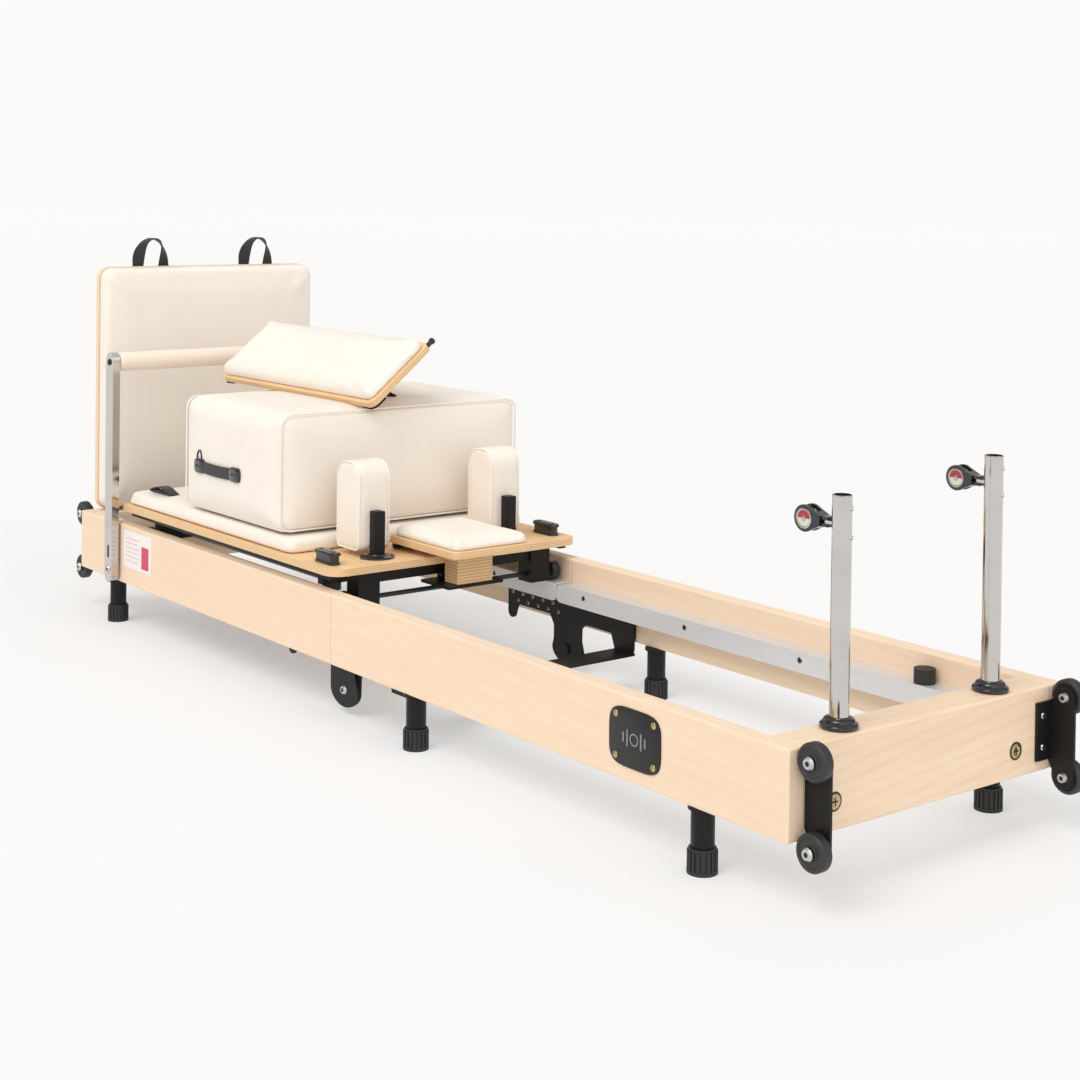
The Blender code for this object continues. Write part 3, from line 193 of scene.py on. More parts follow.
def tint(tree, factor, a, b):
    """Colour a at factor 0 and colour b at factor 1."""
    mixed = put(tree, "ShaderNodeMix", {0: factor, 6: a, 7: b}, data_type="RGBA", clamp_factor=True)
    return mixed.outputs[2]


COLOUR, NUMBER, VECTOR = "NodeSocketColor", "NodeSocketFloat", "NodeSocketVector"
grain, grain_in, grain_out = effect(
    "wood grain",
    (("Vector", VECTOR, (0, 0, 0)), ("Light", COLOUR, (0.8, 0.6, 0.4, 1)),
     ("Dark", COLOUR, (0.6, 0.4, 0.2, 1)), ("Figure", NUMBER, 1.0)),
    (("Colour", COLOUR), ("Roughness", NUMBER), ("Height", NUMBER)))
wide = stretch(grain, grain_in.outputs["Vector"], (1.1, 16, 16))
clouds = put(grain, "ShaderNodeTexNoise", {"Vector": wide, "Scale": 1.6, "Detail": 3.0, "Distortion": 0.8})
fine = stretch(grain, grain_in.outputs["Vector"], (7, 420, 420))
fibre = put(grain, "ShaderNodeTexNoise", {"Vector": fine, "Scale": 1.0, "Detail": 3.0})
bands = stretch(grain, grain_in.outputs["Vector"], (0.9, 9, 9))
rings = put(grain, "ShaderNodeTexWave",
            {"Vector": bands, "Scale": 3.4, "Distortion": 5.5, "Detail": 3.0, "Detail Scale": 0.7},
            wave_type="BANDS", bands_direction="DIAGONAL")
ring_lines = calculate(grain, "POWER", rings.outputs["Fac"], 3.0)
figured = calculate(grain, "MULTIPLY", ring_lines, grain_in.outputs["Figure"])
mixed_grain = calculate(grain, "MULTIPLY_ADD", clouds.outputs["Fac"], 0.75, calculate(
    grain, "MULTIPLY_ADD", figured, 0.38, calculate(grain, "MULTIPLY_ADD", fibre.outputs["Fac"], 0.42, -0.42)))
grain.links.new(tint(grain, mixed_grain, grain_in.outputs["Light"], grain_in.outputs["Dark"]),
                grain_out.inputs["Colour"])
grain.links.new(calculate(grain, "MULTIPLY_ADD", fibre.outputs["Fac"], 0.16, 0.40),
                grain_out.inputs["Roughness"])
grain.links.new(calculate(grain, "ADD", fibre.outputs["Fac"], calculate(grain, "MULTIPLY", figured, 0.4)),
                grain_out.inputs["Height"])


def use_effect(tree, group, **inputs):
    """A shader group placed in a material, with its inputs set or joined."""
    return put(tree, "ShaderNodeGroup", {key.title(): value for key, value in inputs.items()}, node_tree=group)


def bump(tree, height, strength, distance):
    """The normal that a height gives."""
    made = put(tree, "ShaderNodeBump", {"Height": height, "Strength": strength, "Distance": distance})
    return made.outputs[0]


def maple(name, turn, shift, dark=(0.79, 0.575, 0.40, 1), figure=0.55):
    """Oiled maple whose grain runs along X after the turn about Z; the shift picks another board."""
    made, tree, shader = principled(name, specular_ior_level=0.35)
    where = put(tree, "ShaderNodeTexCoord").outputs["Object"]
    board = put(tree, "ShaderNodeMapping", {"Vector": where, "Location": shift, "Rotation": (0, 0, turn)})
    use = use_effect(tree, grain, vector=board.outputs[0], light=(0.86, 0.675, 0.50, 1), dark=dark,
                     figure=figure)
    tree.links.new(use.outputs["Colour"], shader.inputs["Base Color"])
    tree.links.new(use.outputs["Roughness"], shader.inputs["Roughness"])
    tree.links.new(bump(tree, use.outputs["Height"], 0.25, 0.0004), shader.inputs["Normal"])
    return made


def paint(material, *nodes):
    """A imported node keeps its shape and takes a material."""
    for name in nodes:
        for index in range(len(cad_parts[name].data.materials)):
            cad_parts[name].data.materials[index] = material


paint(maple("front rail maple", 0.0, (0.35, 0.02, 0.11)), "front_rail_near", "front_rail_far")
paint(maple("rear rail maple", 0.0, (4.2, 0.31, 0.55)), "rear_rail_near", "rear_rail_far")
end_maple = maple("end board maple", math.pi / 2, (1.3, 2.4, 0.7), (0.74, 0.505, 0.32, 1), 0.6)
paint(end_maple, "head_end_board", "foot_end_board")

# ------------------------------------------------------------------------------------------------
# Bed bolts: a brass-plated cross-head barrel in a dark washer, two in the pulley-end board; on the far
# rail's inner face two plastic plugs cover the bolts of the footbar socket.


def turned(profile, centre, axis, steps=40, shape=None, ring=False):
    """A closed turned shape: (radius, distance along the axis) points, spun about the axis from its centre.
    A ring's profile is a closed outline, away from the axis."""
    shape = shape or bmesh.new()
    turn = Vector((0, 0, 1)).rotation_difference(Vector(axis)).to_matrix()
    rows = []
    for radius, along in profile:
        around = []
        for step in range(steps if radius > 0 else 1):
            angle = 2 * math.pi * step / steps
            local = Vector((radius * math.cos(angle), radius * math.sin(angle), along))
            around.append(shape.verts.new(turn @ local + Vector(centre)))
        rows.append(around)
    if ring:
        rows.append(rows[0])
    for low, high in zip(rows, rows[1:]):
        for step in range(steps):
            corners = [low[step % len(low)], low[(step + 1) % len(low)],
                       high[(step + 1) % len(high)], high[step % len(high)]]
            shape.faces.new(list(dict.fromkeys(corners)))
    for end in (rows[0], rows[-1]):
        if len(end) > 1 and not ring:
            shape.faces.new(end)
    return shape


def rounded_box(low, high, radius, segments=3, shape=None):
    """A block between two corners with every edge rounded."""
    shape = shape or bmesh.new()
    size = Vector(high) - Vector(low)
    middle = (Vector(high) + Vector(low)) / 2
    to_place = Matrix.Translation(middle) @ Matrix.Diagonal((*size, 1))
    made = bmesh.ops.create_cube(shape, size=1, matrix=to_place)
    edges = list({edge for vert in made["verts"] for edge in vert.link_edges})
    if radius:
        bmesh.ops.bevel(shape, geom=edges, offset=radius, segments=segments, profile=0.5, affect="EDGES")
    return shape


wear, wear_in, wear_out = effect(
    "surface wear", (("Vector", VECTOR, (0, 0, 0)), ("Base", NUMBER, 0.4), ("Spread", NUMBER, 0.15),
                     ("Grit", NUMBER, 900.0)),
    (("Roughness", NUMBER), ("Height", NUMBER), ("Mask", NUMBER)))
smears = put(wear, "ShaderNodeTexNoise", {"Vector": wear_in.outputs["Vector"], "Scale": 14.0, "Detail": 5.0,
                                          "Roughness": 0.65})
grit = put(wear, "ShaderNodeTexNoise", {"Vector": wear_in.outputs["Vector"], "Scale": wear_in.outputs["Grit"],
                                        "Detail": 2.0})
centred = calculate(wear, "SUBTRACT", smears.outputs["Fac"], 0.5)
wear.links.new(calculate(wear, "MULTIPLY_ADD", centred, wear_in.outputs["Spread"],
                         calculate(wear, "MULTIPLY_ADD", centred, wear_in.outputs["Spread"],
                                   wear_in.outputs["Base"])), wear_out.inputs["Roughness"])
wear.links.new(grit.outputs["Fac"], wear_out.inputs["Height"])
wear.links.new(calculate(wear, "POWER", smears.outputs["Fac"], 2.5), wear_out.inputs["Mask"])


def worn(name, colour, faded, rough, spread, grit_size, depth, **sockets):
    """A moulded, painted or plated finish: two close colours, uneven gloss and a fine surface texture."""
    made, tree, shader = principled(name, **sockets)
    where = put(tree, "ShaderNodeTexCoord").outputs["Object"]
    use = use_effect(tree, wear, vector=where, base=rough, spread=spread, grit=grit_size)
    tree.links.new(tint(tree, use.outputs["Mask"], (*colour, 1), (*faded, 1)), shader.inputs["Base Color"])
    tree.links.new(use.outputs["Roughness"], shader.inputs["Roughness"])
    tree.links.new(bump(tree, use.outputs["Height"], 0.3, depth), shader.inputs["Normal"])
    return made


brass = worn("yellow zinc", (0.60, 0.47, 0.24), (0.42, 0.31, 0.14), 0.30, 0.2, 300, 0.0001, metallic=1.0)
black_plastic = worn("moulded plastic", (0.014, 0.014, 0.015), (0.03, 0.03, 0.032), 0.33, 0.2, 700, 0.0001)
# Painted shade: a near-black material for the insides of holes, sockets, cross recesses and slots.
recess_shade_paint = worn("painted recess shade", (0.006, 0.006, 0.006), (0.012, 0.011, 0.010), 0.7, 0.1, 300, 0.0001)
end_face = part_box("head_end_board")[1][0]
BOLT_Z = 0.150
for label, y in (("near", -0.227), ("far", 0.201)):
    face = (end_face, y, BOLT_Z)
    washer = turned(((0.0148, 0.0002), (0.0148, 0.0012), (0.0138, 0.0018), (0.0118, 0.0018), (0.0112, 0.0008),
                     (0.0112, 0.0002)), face, (1, 0, 0))
    place_piece(f"barrel_washer_{label}", washer, black_plastic, "front_frame")
    head = turned(((0.0118, 0.0004), (0.0118, 0.0016), (0.0106, 0.0024), (0.0080, 0.0027), (0.0068, 0.0019),
                   (0, 0.0019)), face, (1, 0, 0))
    place_piece(f"barrel_bolt_{label}", head, brass, "front_frame")
    # The cross recess is a near-black cross standing just proud of the dished head: painted shade in the
    # recess.
    cross = bmesh.new()
    for half_y, half_z in ((0.0060, 0.0011), (0.0011, 0.0060)):
        rounded_box((end_face + 0.0010, y - half_y, BOLT_Z - half_z),
                    (end_face + 0.00215, y + half_y, BOLT_Z + half_z), 0, shape=cross)
    place_piece(f"barrel_cross_{label}", cross, recess_shade_paint, "front_frame")
far_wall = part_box("rear_rail_far")[0][1]
for index, x in enumerate((-0.270, -0.184)):
    plug = turned(((0.0085, -0.0002), (0.0085, 0.0016), (0.0066, 0.0028), (0, 0.0030)),
                  (x, far_wall, 0.212), (0, -1, 0), 28)
    place_piece(f"rail_plug_{index + 1}", plug, black_plastic, "rear_frame")

# ------------------------------------------------------------------------------------------------
# Name plate: a stamped black plate with four brass screws near the pulley end, with a plain raised
# emblem of a ring and bars. At the other end a paper care label is stuck to the rail.


def outline_plate(points, low, high, to_place, bevel, shape=None):
    """A flat plate of an outline between two heights, its top edge bevelled, put in place by a matrix."""
    shape = shape or bmesh.new()
    face = shape.faces.new([shape.verts.new((x, y, low)) for x, y in points])
    risen = bmesh.ops.extrude_face_region(shape, geom=[face])["geom"]
    top = [item for item in risen if isinstance(item, bmesh.types.BMVert)]
    bmesh.ops.translate(shape, verts=top, vec=(0, 0, high - low))
    rim = [item for item in risen if isinstance(item, bmesh.types.BMEdge)]
    verts = list({vert for vert in face.verts} | set(top))
    if bevel:
        made = bmesh.ops.bevel(shape, geom=rim, offset=bevel, segments=2, profile=0.5, affect="EDGES")
        verts = list(set(verts) | set(made["verts"]))
    bmesh.ops.transform(shape, matrix=to_place, verts=[vert for vert in verts if vert.is_valid])
    return shape


def rounded_outline(width, height, radius, steps=8):
    """The corner points of a rounded rectangle about the origin."""
    points = []
    for turn, (sx, sy) in enumerate(((1, 1), (-1, 1), (-1, -1), (1, -1))):
        for step in range(steps + 1):
            angle = math.pi / 2 * (turn + step / steps)
            points.append((sx * (width / 2 - radius) + radius * math.cos(angle),
                           sy * (height / 2 - radius) + radius * math.sin(angle)))
    return points


def on_side(x, y, z, out):
    """The place of a flat piece on a wall that faces along Y: its own X stays level and its +Z points out."""
    return Matrix.Translation((x, y, z)) @ Matrix(((-out, 0, 0), (0, 0, out), (0, 1, 0))).to_4x4()


near_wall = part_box("front_rail_near")[0][1]
PLATE_X, PLATE_Z, PLATE_WIDTH, PLATE_HEIGHT = 0.865, 0.177, 0.124, 0.096
plate_place = on_side(PLATE_X, near_wall, PLATE_Z, -1)
plate_paint = worn("stamped plate", (0.018, 0.018, 0.019), (0.04, 0.038, 0.036), 0.38, 0.25, 500, 0.0001,
                   metallic=0.4)
bulge = [2 * math.pi * step / 72 for step in range(72)]
squircle = [(math.copysign(abs(math.cos(a)) ** 0.48, math.cos(a)) * PLATE_WIDTH / 2,
             math.copysign(abs(math.sin(a)) ** 0.48, math.sin(a)) * PLATE_HEIGHT / 2) for a in bulge]
plate = outline_plate(squircle, 0.0001, 0.0024, plate_place, 0.0008)
place_piece("name_plate", plate, plate_paint, "front_frame")
pewter = worn("brushed pewter", (0.34, 0.33, 0.32), (0.20, 0.19, 0.185), 0.35, 0.2, 600, 0.0001, metallic=1.0)
emblem = bmesh.new()
for offset, tall in ((-0.026, 0.016), (-0.0165, 0.028), (0.0165, 0.028), (0.026, 0.016)):
    outline_plate([(x + offset, y) for x, y in rounded_outline(0.0040, tall, 0.0014, 3)], 0.0022, 0.0030,
                  plate_place, 0.0002, emblem)
turned(((0.0105, 0.0022), (0.0105, 0.0030), (0.0078, 0.0030), (0.0078, 0.0022)),
       plate_place @ Vector((0, 0, 0)), (0, -1, 0), 36, emblem, ring=True)
place_piece("plate_emblem", emblem, pewter, "front_frame", sharp=25)
for index, (sx, sz) in enumerate(((-1, -1), (1, -1), (1, 1), (-1, 1))):
    spot = plate_place @ Vector((sx * (PLATE_WIDTH / 2 - 0.0165), sz * (PLATE_HEIGHT / 2 - 0.0145), 0.0022))
    screw = turned(((0.0058, 0), (0.0058, 0.0006), (0.0044, 0.0018), (0.0020, 0.0023), (0.0018, 0.0013),
                    (0, 0.0013)), spot, (0, -1, 0), 20)
    place_piece(f"plate_screw_{index + 1}", screw, brass, "front_frame")

paper, paper_tree, paper_shader = principled("printed paper", roughness=0.6)
paper_where = put(paper_tree, "ShaderNodeTexCoord").outputs["Object"]
paper_fuzz = put(paper_tree, "ShaderNodeTexNoise", {"Vector": paper_where, "Scale": 400.0, "Detail": 2.0})
paper_tree.links.new(tint(paper_tree, paper_fuzz.outputs["Fac"], (0.86, 0.83, 0.82, 1), (0.80, 0.76, 0.75, 1)),
                     paper_shader.inputs["Base Color"])
red_ink = worn("red ink", (0.62, 0.05, 0.09), (0.70, 0.12, 0.15), 0.55, 0.1, 400, 0.00002)
pink_ink = worn("faint ink", (0.78, 0.48, 0.50), (0.80, 0.58, 0.58), 0.55, 0.1, 400, 0.00002)
LABEL_X, LABEL_Z = -0.895, 0.1895
label_place = on_side(LABEL_X, near_wall, LABEL_Z, -1)
care_label = outline_plate(rounded_outline(0.142, 0.086, 0.003, 3), 0.0001, 0.0004, label_place, 0)
place_piece("care_label", care_label, paper, "rear_frame")
block = outline_plate([(x + 0.040, y - 0.010) for x, y in rounded_outline(0.036, 0.052, 0.001, 2)],
                      0.0003, 0.0006, label_place, 0)
place_piece("label_block", block, red_ink, "rear_frame")
lines = bmesh.new()
for row in range(6):
    outline_plate([(x - 0.022 - 0.004 * (row % 2), y + 0.026 - 0.0105 * row)
                   for x, y in rounded_outline(0.070 - 0.008 * (row % 2), 0.0030, 0.0005, 1)],
                  0.0003, 0.0005, label_place, 0, lines)
place_piece("label_lines", lines, pink_ink, "rear_frame")

# ------------------------------------------------------------------------------------------------
# Tracks: anodised aluminium channels screwed to the inside of each rail, with a ledge for the rollers.
# Their countersunk cross-head screws sit in a row along the web.


def nodes_tree(name, sizes, materials):
    """A Geometry Nodes tree with a named input for each size and material, and its input and output nodes."""
    tree = bpy.data.node_groups.new(name, "GeometryNodeTree")
    tree.interface.new_socket("Geometry", in_out="OUTPUT", socket_type="NodeSocketGeometry")
    for label, value in sizes.items():
        kind = "NodeSocketInt" if isinstance(value, int) else "NodeSocketFloat"
        tree.interface.new_socket(label, in_out="INPUT", socket_type=kind).default_value = value
    for label in materials:
        tree.interface.new_socket(label, in_out="INPUT", socket_type="NodeSocketMaterial")
    return tree, tree.nodes.new("NodeGroupInput").outputs, tree.nodes.new("NodeGroupOutput").inputs


def from_nodes(tree, to_place, **inputs):
    """The plain mesh that a tree makes with these inputs, moved to its place."""
    maker = bpy.data.objects.new("maker", bpy.data.meshes.new("maker"))
    bpy.context.scene.collection.objects.link(maker)
    modifier = maker.modifiers.new("maker", "NODES")
    modifier.node_group = tree
    for socket in tree.interface.items_tree:
        key = socket.name.lower().replace(" ", "_")
        if socket.in_out == "INPUT" and key in inputs:
            modifier[socket.identifier] = inputs[key]
    graph = bpy.context.evaluated_depsgraph_get()
    mesh = bpy.data.meshes.new_from_object(maker.evaluated_get(graph), depsgraph=graph)
    maker.modifiers.remove(modifier)
    bpy.data.objects.remove(maker)
    mesh.transform(to_place)
    return mesh


def realized(tree, geometry, material):
    """Ends a branch of a tree with plain geometry in one material."""
    plain = put(tree, "GeometryNodeRealizeInstances", {"Geometry": geometry}).outputs[0]
    return put(tree, "GeometryNodeSetMaterial", {"Geometry": plain, "Material": material}).outputs[0]


def join(tree, *branches):
    """Several branches of a tree as one geometry."""
    together = put(tree, "GeometryNodeJoinGeometry")
    for branch in branches:
        tree.links.new(branch, together.inputs[0])
    return together.outputs[0]


screw_row, row_in, row_out = nodes_tree(
    "screw row",
    {"Count": 3, "Pitch": 0.1, "Head Radius": 0.004, "Head Height": 0.0015, "Socket Radius": 0.002},
    ("Head Material", "Socket Material"))
row_step = put(screw_row, "ShaderNodeCombineXYZ", {"X": row_in["Pitch"]}).outputs[0]
row_points = put(screw_row, "GeometryNodeMeshLine", {"Count": row_in["Count"], "Offset": row_step}).outputs[0]
crown = calculate(screw_row, "MULTIPLY", row_in["Head Radius"], 0.78)
screw_head = put(screw_row, "GeometryNodeMeshCone",
                 {"Vertices": 24, "Radius Bottom": row_in["Head Radius"], "Radius Top": crown,
                  "Depth": row_in["Head Height"]}).outputs["Mesh"]
# Each socket is a six-sided peg that stands out through the head; in use it takes the painted recess shade.
socket_depth = calculate(screw_row, "MULTIPLY", row_in["Head Height"], 2.1)
screw_socket = put(screw_row, "GeometryNodeMeshCylinder",
                   {"Vertices": 6, "Radius": row_in["Socket Radius"], "Depth": socket_depth}).outputs["Mesh"]
heads = put(screw_row, "GeometryNodeInstanceOnPoints",
            {"Points": row_points, "Instance": screw_head}).outputs[0]
sockets = put(screw_row, "GeometryNodeInstanceOnPoints",
              {"Points": row_points, "Instance": screw_socket}).outputs[0]
screw_row.links.new(join(screw_row, realized(screw_row, heads, row_in["Head Material"]),
                         realized(screw_row, sockets, row_in["Socket Material"])), row_out[0])


def screws(name, body, start, along, out, count, pitch, radius, height, hollow, metal):
    """A row of screws on a wall: the first one's place, the way the row runs and the way the heads face."""
    along, out = Vector(along), Vector(out)
    to_place = Matrix.Translation(start) @ Matrix((along, out.cross(along), out)).transposed().to_4x4()
    # Painted shade: every socket is drawn in the near-black recess material.
    mesh = from_nodes(screw_row, to_place, count=count, pitch=pitch, head_radius=radius, head_height=height,
                      socket_radius=hollow, head_material=metal, socket_material=recess_shade_paint)
    return place_piece(name, mesh, None, body)


zinc = worn("bright zinc", (0.62, 0.61, 0.60), (0.44, 0.43, 0.42), 0.25, 0.2, 400, 0.0001, metallic=1.0)
anodised, anodised_tree, anodised_shader = principled("anodised aluminium", metallic=0.55)
anodised_where = put(anodised_tree, "ShaderNodeTexCoord").outputs["Object"]
drawn = put(anodised_tree, "ShaderNodeTexNoise",
            {"Vector": stretch(anodised_tree, anodised_where, (2, 900, 900)), "Scale": 1.0, "Detail": 2.0})
anodised_tree.links.new(
    tint(anodised_tree, drawn.outputs["Fac"], (0.80, 0.80, 0.81, 1), (0.70, 0.705, 0.72, 1)),
    anodised_shader.inputs["Base Color"])
anodised_tree.links.new(calculate(anodised_tree, "MULTIPLY_ADD", drawn.outputs["Fac"], 0.2, 0.32),
                        anodised_shader.inputs["Roughness"])
anodised_tree.links.new(bump(anodised_tree, drawn.outputs["Fac"], 0.15, 0.0002),
                        anodised_shader.inputs["Normal"])
paint(anodised, "front_track_near", "front_track_far", "rear_track_near", "rear_track_far")
track_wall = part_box("front_track_far")[0][1]
TRACK_SCREW_Z, TRACK_SCREW_PITCH = 0.180, 0.315
for side, out in (("near", 1), ("far", -1)):
    wall = -out * track_wall
    for body, first, count in (("front_frame", 0.044, 3), ("rear_frame", -0.901, 3)):
        screws(f"track_screws_{body}_{side}", body, (first, wall - out * 0.0006, TRACK_SCREW_Z), (1, 0, 0),
               (0, out, 0), count, TRACK_SCREW_PITCH, 0.0078, 0.0012, 0.0052, zinc)

# ------------------------------------------------------------------------------------------------
# Legs: short powder-coated steel tubes screwed under the rails, each in a ribbed rubber ferrule.
# The front half stands on four of them and the rear half on two.
black_steel = worn("powder coat", (0.008, 0.008, 0.0085), (0.018, 0.017, 0.017), 0.40, 0.22, 1400, 0.00025,
                   specular_ior_level=0.22)
rubber = worn("ribbed rubber", (0.016, 0.016, 0.016), (0.035, 0.034, 0.033), 0.58, 0.2, 900, 0.0003)
ferrule, foot_in, foot_out = nodes_tree(
    "ribbed ferrule", {"Radius": 0.022, "Height": 0.042, "Ribs": 18, "Rib Width": 0.004, "Rib Depth": 0.003},
    ("Rubber",))
core_radius = calculate(ferrule, "SUBTRACT", foot_in["Radius"], foot_in["Rib Depth"])
foot_core = put(ferrule, "GeometryNodeMeshCone",
                {"Vertices": 48, "Radius Bottom": core_radius,
                 "Radius Top": calculate(ferrule, "MULTIPLY", core_radius, 0.985), "Depth": foot_in["Height"]})
sole_height = calculate(ferrule, "MULTIPLY", foot_in["Height"], 0.16)
foot_sole = put(ferrule, "GeometryNodeMeshCone",
                {"Vertices": 48, "Radius Bottom": foot_in["Radius"], "Radius Top": foot_in["Radius"],
                 "Depth": sole_height})
rib_circle = put(ferrule, "GeometryNodeMeshCircle",
                 {"Vertices": foot_in["Ribs"], "Radius": core_radius}).outputs[0]
rib_height = calculate(ferrule, "MULTIPLY", foot_in["Height"], 0.74)
rib_root = calculate(ferrule, "MULTIPLY", foot_in["Rib Depth"], 1.7)
rib_size = put(ferrule, "ShaderNodeCombineXYZ",
               {"X": rib_root, "Y": foot_in["Rib Width"], "Z": rib_height}).outputs[0]
rib_block = put(ferrule, "GeometryNodeMeshCube", {"Size": rib_size}).outputs["Mesh"]
rib_middle = calculate(ferrule, "MULTIPLY_ADD", rib_height, 0.5, sole_height)
rib_lift = put(ferrule, "ShaderNodeCombineXYZ", {"Z": rib_middle}).outputs[0]
rib_up = put(ferrule, "GeometryNodeTransform", {"Geometry": rib_block, "Translation": rib_lift}).outputs[0]
outward = put(ferrule, "FunctionNodeAlignEulerToVector",
              {"Vector": put(ferrule, "GeometryNodeInputPosition").outputs[0]}, axis="X", pivot_axis="Z")
ribs = put(ferrule, "GeometryNodeInstanceOnPoints",
           {"Points": rib_circle, "Instance": rib_up, "Rotation": outward.outputs[0]}).outputs[0]
ferrule.links.new(realized(ferrule, join(ferrule, ribs, foot_core.outputs["Mesh"], foot_sole.outputs["Mesh"]),
                           foot_in["Rubber"]), foot_out[0])
for leg, body in (("rear_leg", "rear_frame"), ("middle_leg", "front_frame"), ("head_leg", "front_frame")):
    for side in ("near", "far"):
        low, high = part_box(f"{leg}_{side}")
        x, y = (low[0] + high[0]) / 2, (low[1] + high[1]) / 2
        tube = turned(((0.0185, 0.020), (0.0190, 0.021), (0.0190, high[2] - 0.006), (0.0240, high[2] - 0.005),
                       (0.0240, high[2])), (x, y, 0), (0, 0, 1))
        place_piece(f"{leg}_tube_{side}", tube, black_steel, body, (f"{leg}_{side}",))
        foot = from_nodes(ferrule, Matrix.Translation((x, y, 0)), radius=0.0245, height=0.040, ribs=18,
                          rib_width=0.0046, rib_depth=0.0022, rubber=rubber)
        place_piece(f"{leg}_foot_{side}", foot, None, body)

# ------------------------------------------------------------------------------------------------
# Fold hinge: pressed steel straps screwed inside the rails, lugs down to a low pivot under the seam,
# and a bent cross brace that ties the two front straps together.
paint(black_steel, "rear_hinge_plate_near", "rear_hinge_plate_far", "hinge_yoke", "spring_bar",
      "platform_prop", "carriage_chassis")
copper_zinc = worn("yellowed screw", (0.55, 0.36, 0.22), (0.40, 0.26, 0.16), 0.3, 0.2, 400, 0.0001,
                   metallic=1.0)
strap_low, strap_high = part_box("rear_hinge_plate_far")
yoke_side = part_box("hinge_yoke")[1][1]
strap_z = strap_high[2] - 0.017
PIVOT_X, PIVOT_Z = -0.049, 0.049
for side, out in (("near", 1), ("far", -1)):
    rear_wall = -out * (strap_high[1] - 0.0050)
    screws(f"rear_strap_screws_{side}", "rear_frame", (strap_low[0] + 0.018, rear_wall, strap_z + 0.008),
           (1, 0, 0), (0, out, 0), 5, 0.036, 0.0042, 0.0018, 0.0020, copper_zinc)
    screws(f"rear_strap_holes_{side}", "rear_frame", (strap_low[0] + 0.036, rear_wall, strap_z - 0.008),
           (1, 0, 0), (0, out, 0), 5, 0.036, 0.0040, 0.0006, 0.0028, zinc)
    front_wall = -out * (yoke_side - 0.0052)
    screws(f"front_strap_screws_{side}", "front_frame", (0.030, front_wall, strap_z + 0.008),
           (1, 0, 0), (0, out, 0), 4, 0.036, 0.0042, 0.0018, 0.0020, copper_zinc)
    screws(f"pivot_bolt_{side}", "rear_frame", (PIVOT_X, -out * (strap_high[1] + 0.0002), PIVOT_Z),
           (-out, 0, 0), (0, -out, 0), 1, 0.01, 0.0095, 0.0040, 0.0045, zinc)

# ------------------------------------------------------------------------------------------------
# Transport wheels: at each corner two rubber wheels run on socket-head bolts through a steel bracket,
# whose flange is screwed to the end board.
paint(black_steel, "head_wheel_bracket_near", "head_wheel_bracket_far", "rear_wheel_bracket_near",
      "rear_wheel_bracket_far")
tyre = worn("wheel rubber", (0.020, 0.021, 0.022), (0.045, 0.045, 0.045), 0.50, 0.25, 700, 0.0003)
FLANGE_X, FLANGE_Y, BOLT_HEAD_Y, NUT_Y = 1.2061, 0.266, 0.3158, 0.2858
for end in ("rear", "head"):
    facing = 1 if end == "head" else -1
    frame_body = "front_frame" if end == "head" else "rear_frame"
    for side, out in (("near", -1), ("far", 1)):
        screws(f"{end}_flange_screws_{side}", frame_body, (facing * FLANGE_X, out * FLANGE_Y, 0.146),
               (0, 0, 1), (facing, 0, 0), 2, 0.052, 0.0058, 0.0022, 0.0022, zinc)
        for level in ("upper", "lower"):
            low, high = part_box(f"{end}_wheel_{side}_{level}")
            x, z, radius = (low[0] + high[0]) / 2, (low[2] + high[2]) / 2, (high[0] - low[0]) / 2
            half = (high[1] - low[1]) / 2
            middle = (x, (low[1] + high[1]) / 2, z)
            rim = [(0.0066, -half + 0.002), (0.0066, -half), (0.011, -half), (0.012, -half + 0.0016),
                   (radius - 0.008, -half + 0.0016), (radius - 0.0065, -half)]
            tread = [(radius - 0.0045 + 0.0045 * math.sin(angle), -half + 0.0045 - 0.0045 * math.cos(angle))
                     for angle in (math.pi / 2 * step / 5 for step in range(6))]
            outline = rim + tread
            outline += [(r, -along) for r, along in reversed(outline)]
            wheel = turned(outline, middle, (0, 1, 0), 56, ring=True)
            place_piece(f"{end}_{side}_{level}_tyre", wheel, tyre, f"{end}_{side}_{level}_wheel",
                        (f"{end}_wheel_{side}_{level}",))
            screws(f"{end}_{side}_{level}_axle_bolt", frame_body, (x, out * BOLT_HEAD_Y, z), (out, 0, 0),
                   (0, out, 0), 1, 0.01, 0.0102, 0.0036, 0.0042, zinc)
            screws(f"{end}_{side}_{level}_axle_nut", frame_body, (x, out * NUT_Y, z), (-out, 0, 0),
                   (0, -out, 0), 1, 0.01, 0.0092, 0.0050, 0.0040, zinc)

# ------------------------------------------------------------------------------------------------
# Riser posts: chromed tubes that slide in the pulley-end board through stepped rubber collars. Each
# carries a swivelling nylon pulley on an eye bolt; two rivets near the top hold the eye's backing nut.
chrome = worn("chrome plate", (0.64, 0.615, 0.585), (0.44, 0.42, 0.395), 0.10, 0.10, 250, 0.00003,
              metallic=1.0)
gloss_black = worn("glossy nylon", (0.010, 0.010, 0.011), (0.02, 0.02, 0.021), 0.18, 0.12, 500, 0.00005,
                   coat_weight=0.4)
red_enamel = worn("red insert", (0.42, 0.03, 0.035), (0.30, 0.02, 0.03), 0.25, 0.2, 500, 0.00005)
pale_enamel = worn("pale insert", (0.62, 0.66, 0.52), (0.50, 0.54, 0.42), 0.25, 0.2, 500, 0.00005)
paint(chrome, "riser_post_near", "riser_post_far", "footbar_bow")
paint(gloss_black, "pulley_block_near", "pulley_block_far", "pulley_sheave_near", "pulley_sheave_far")
paint(rubber, "track_stop_near", "track_stop_far")
POST_TURN = math.radians(22)
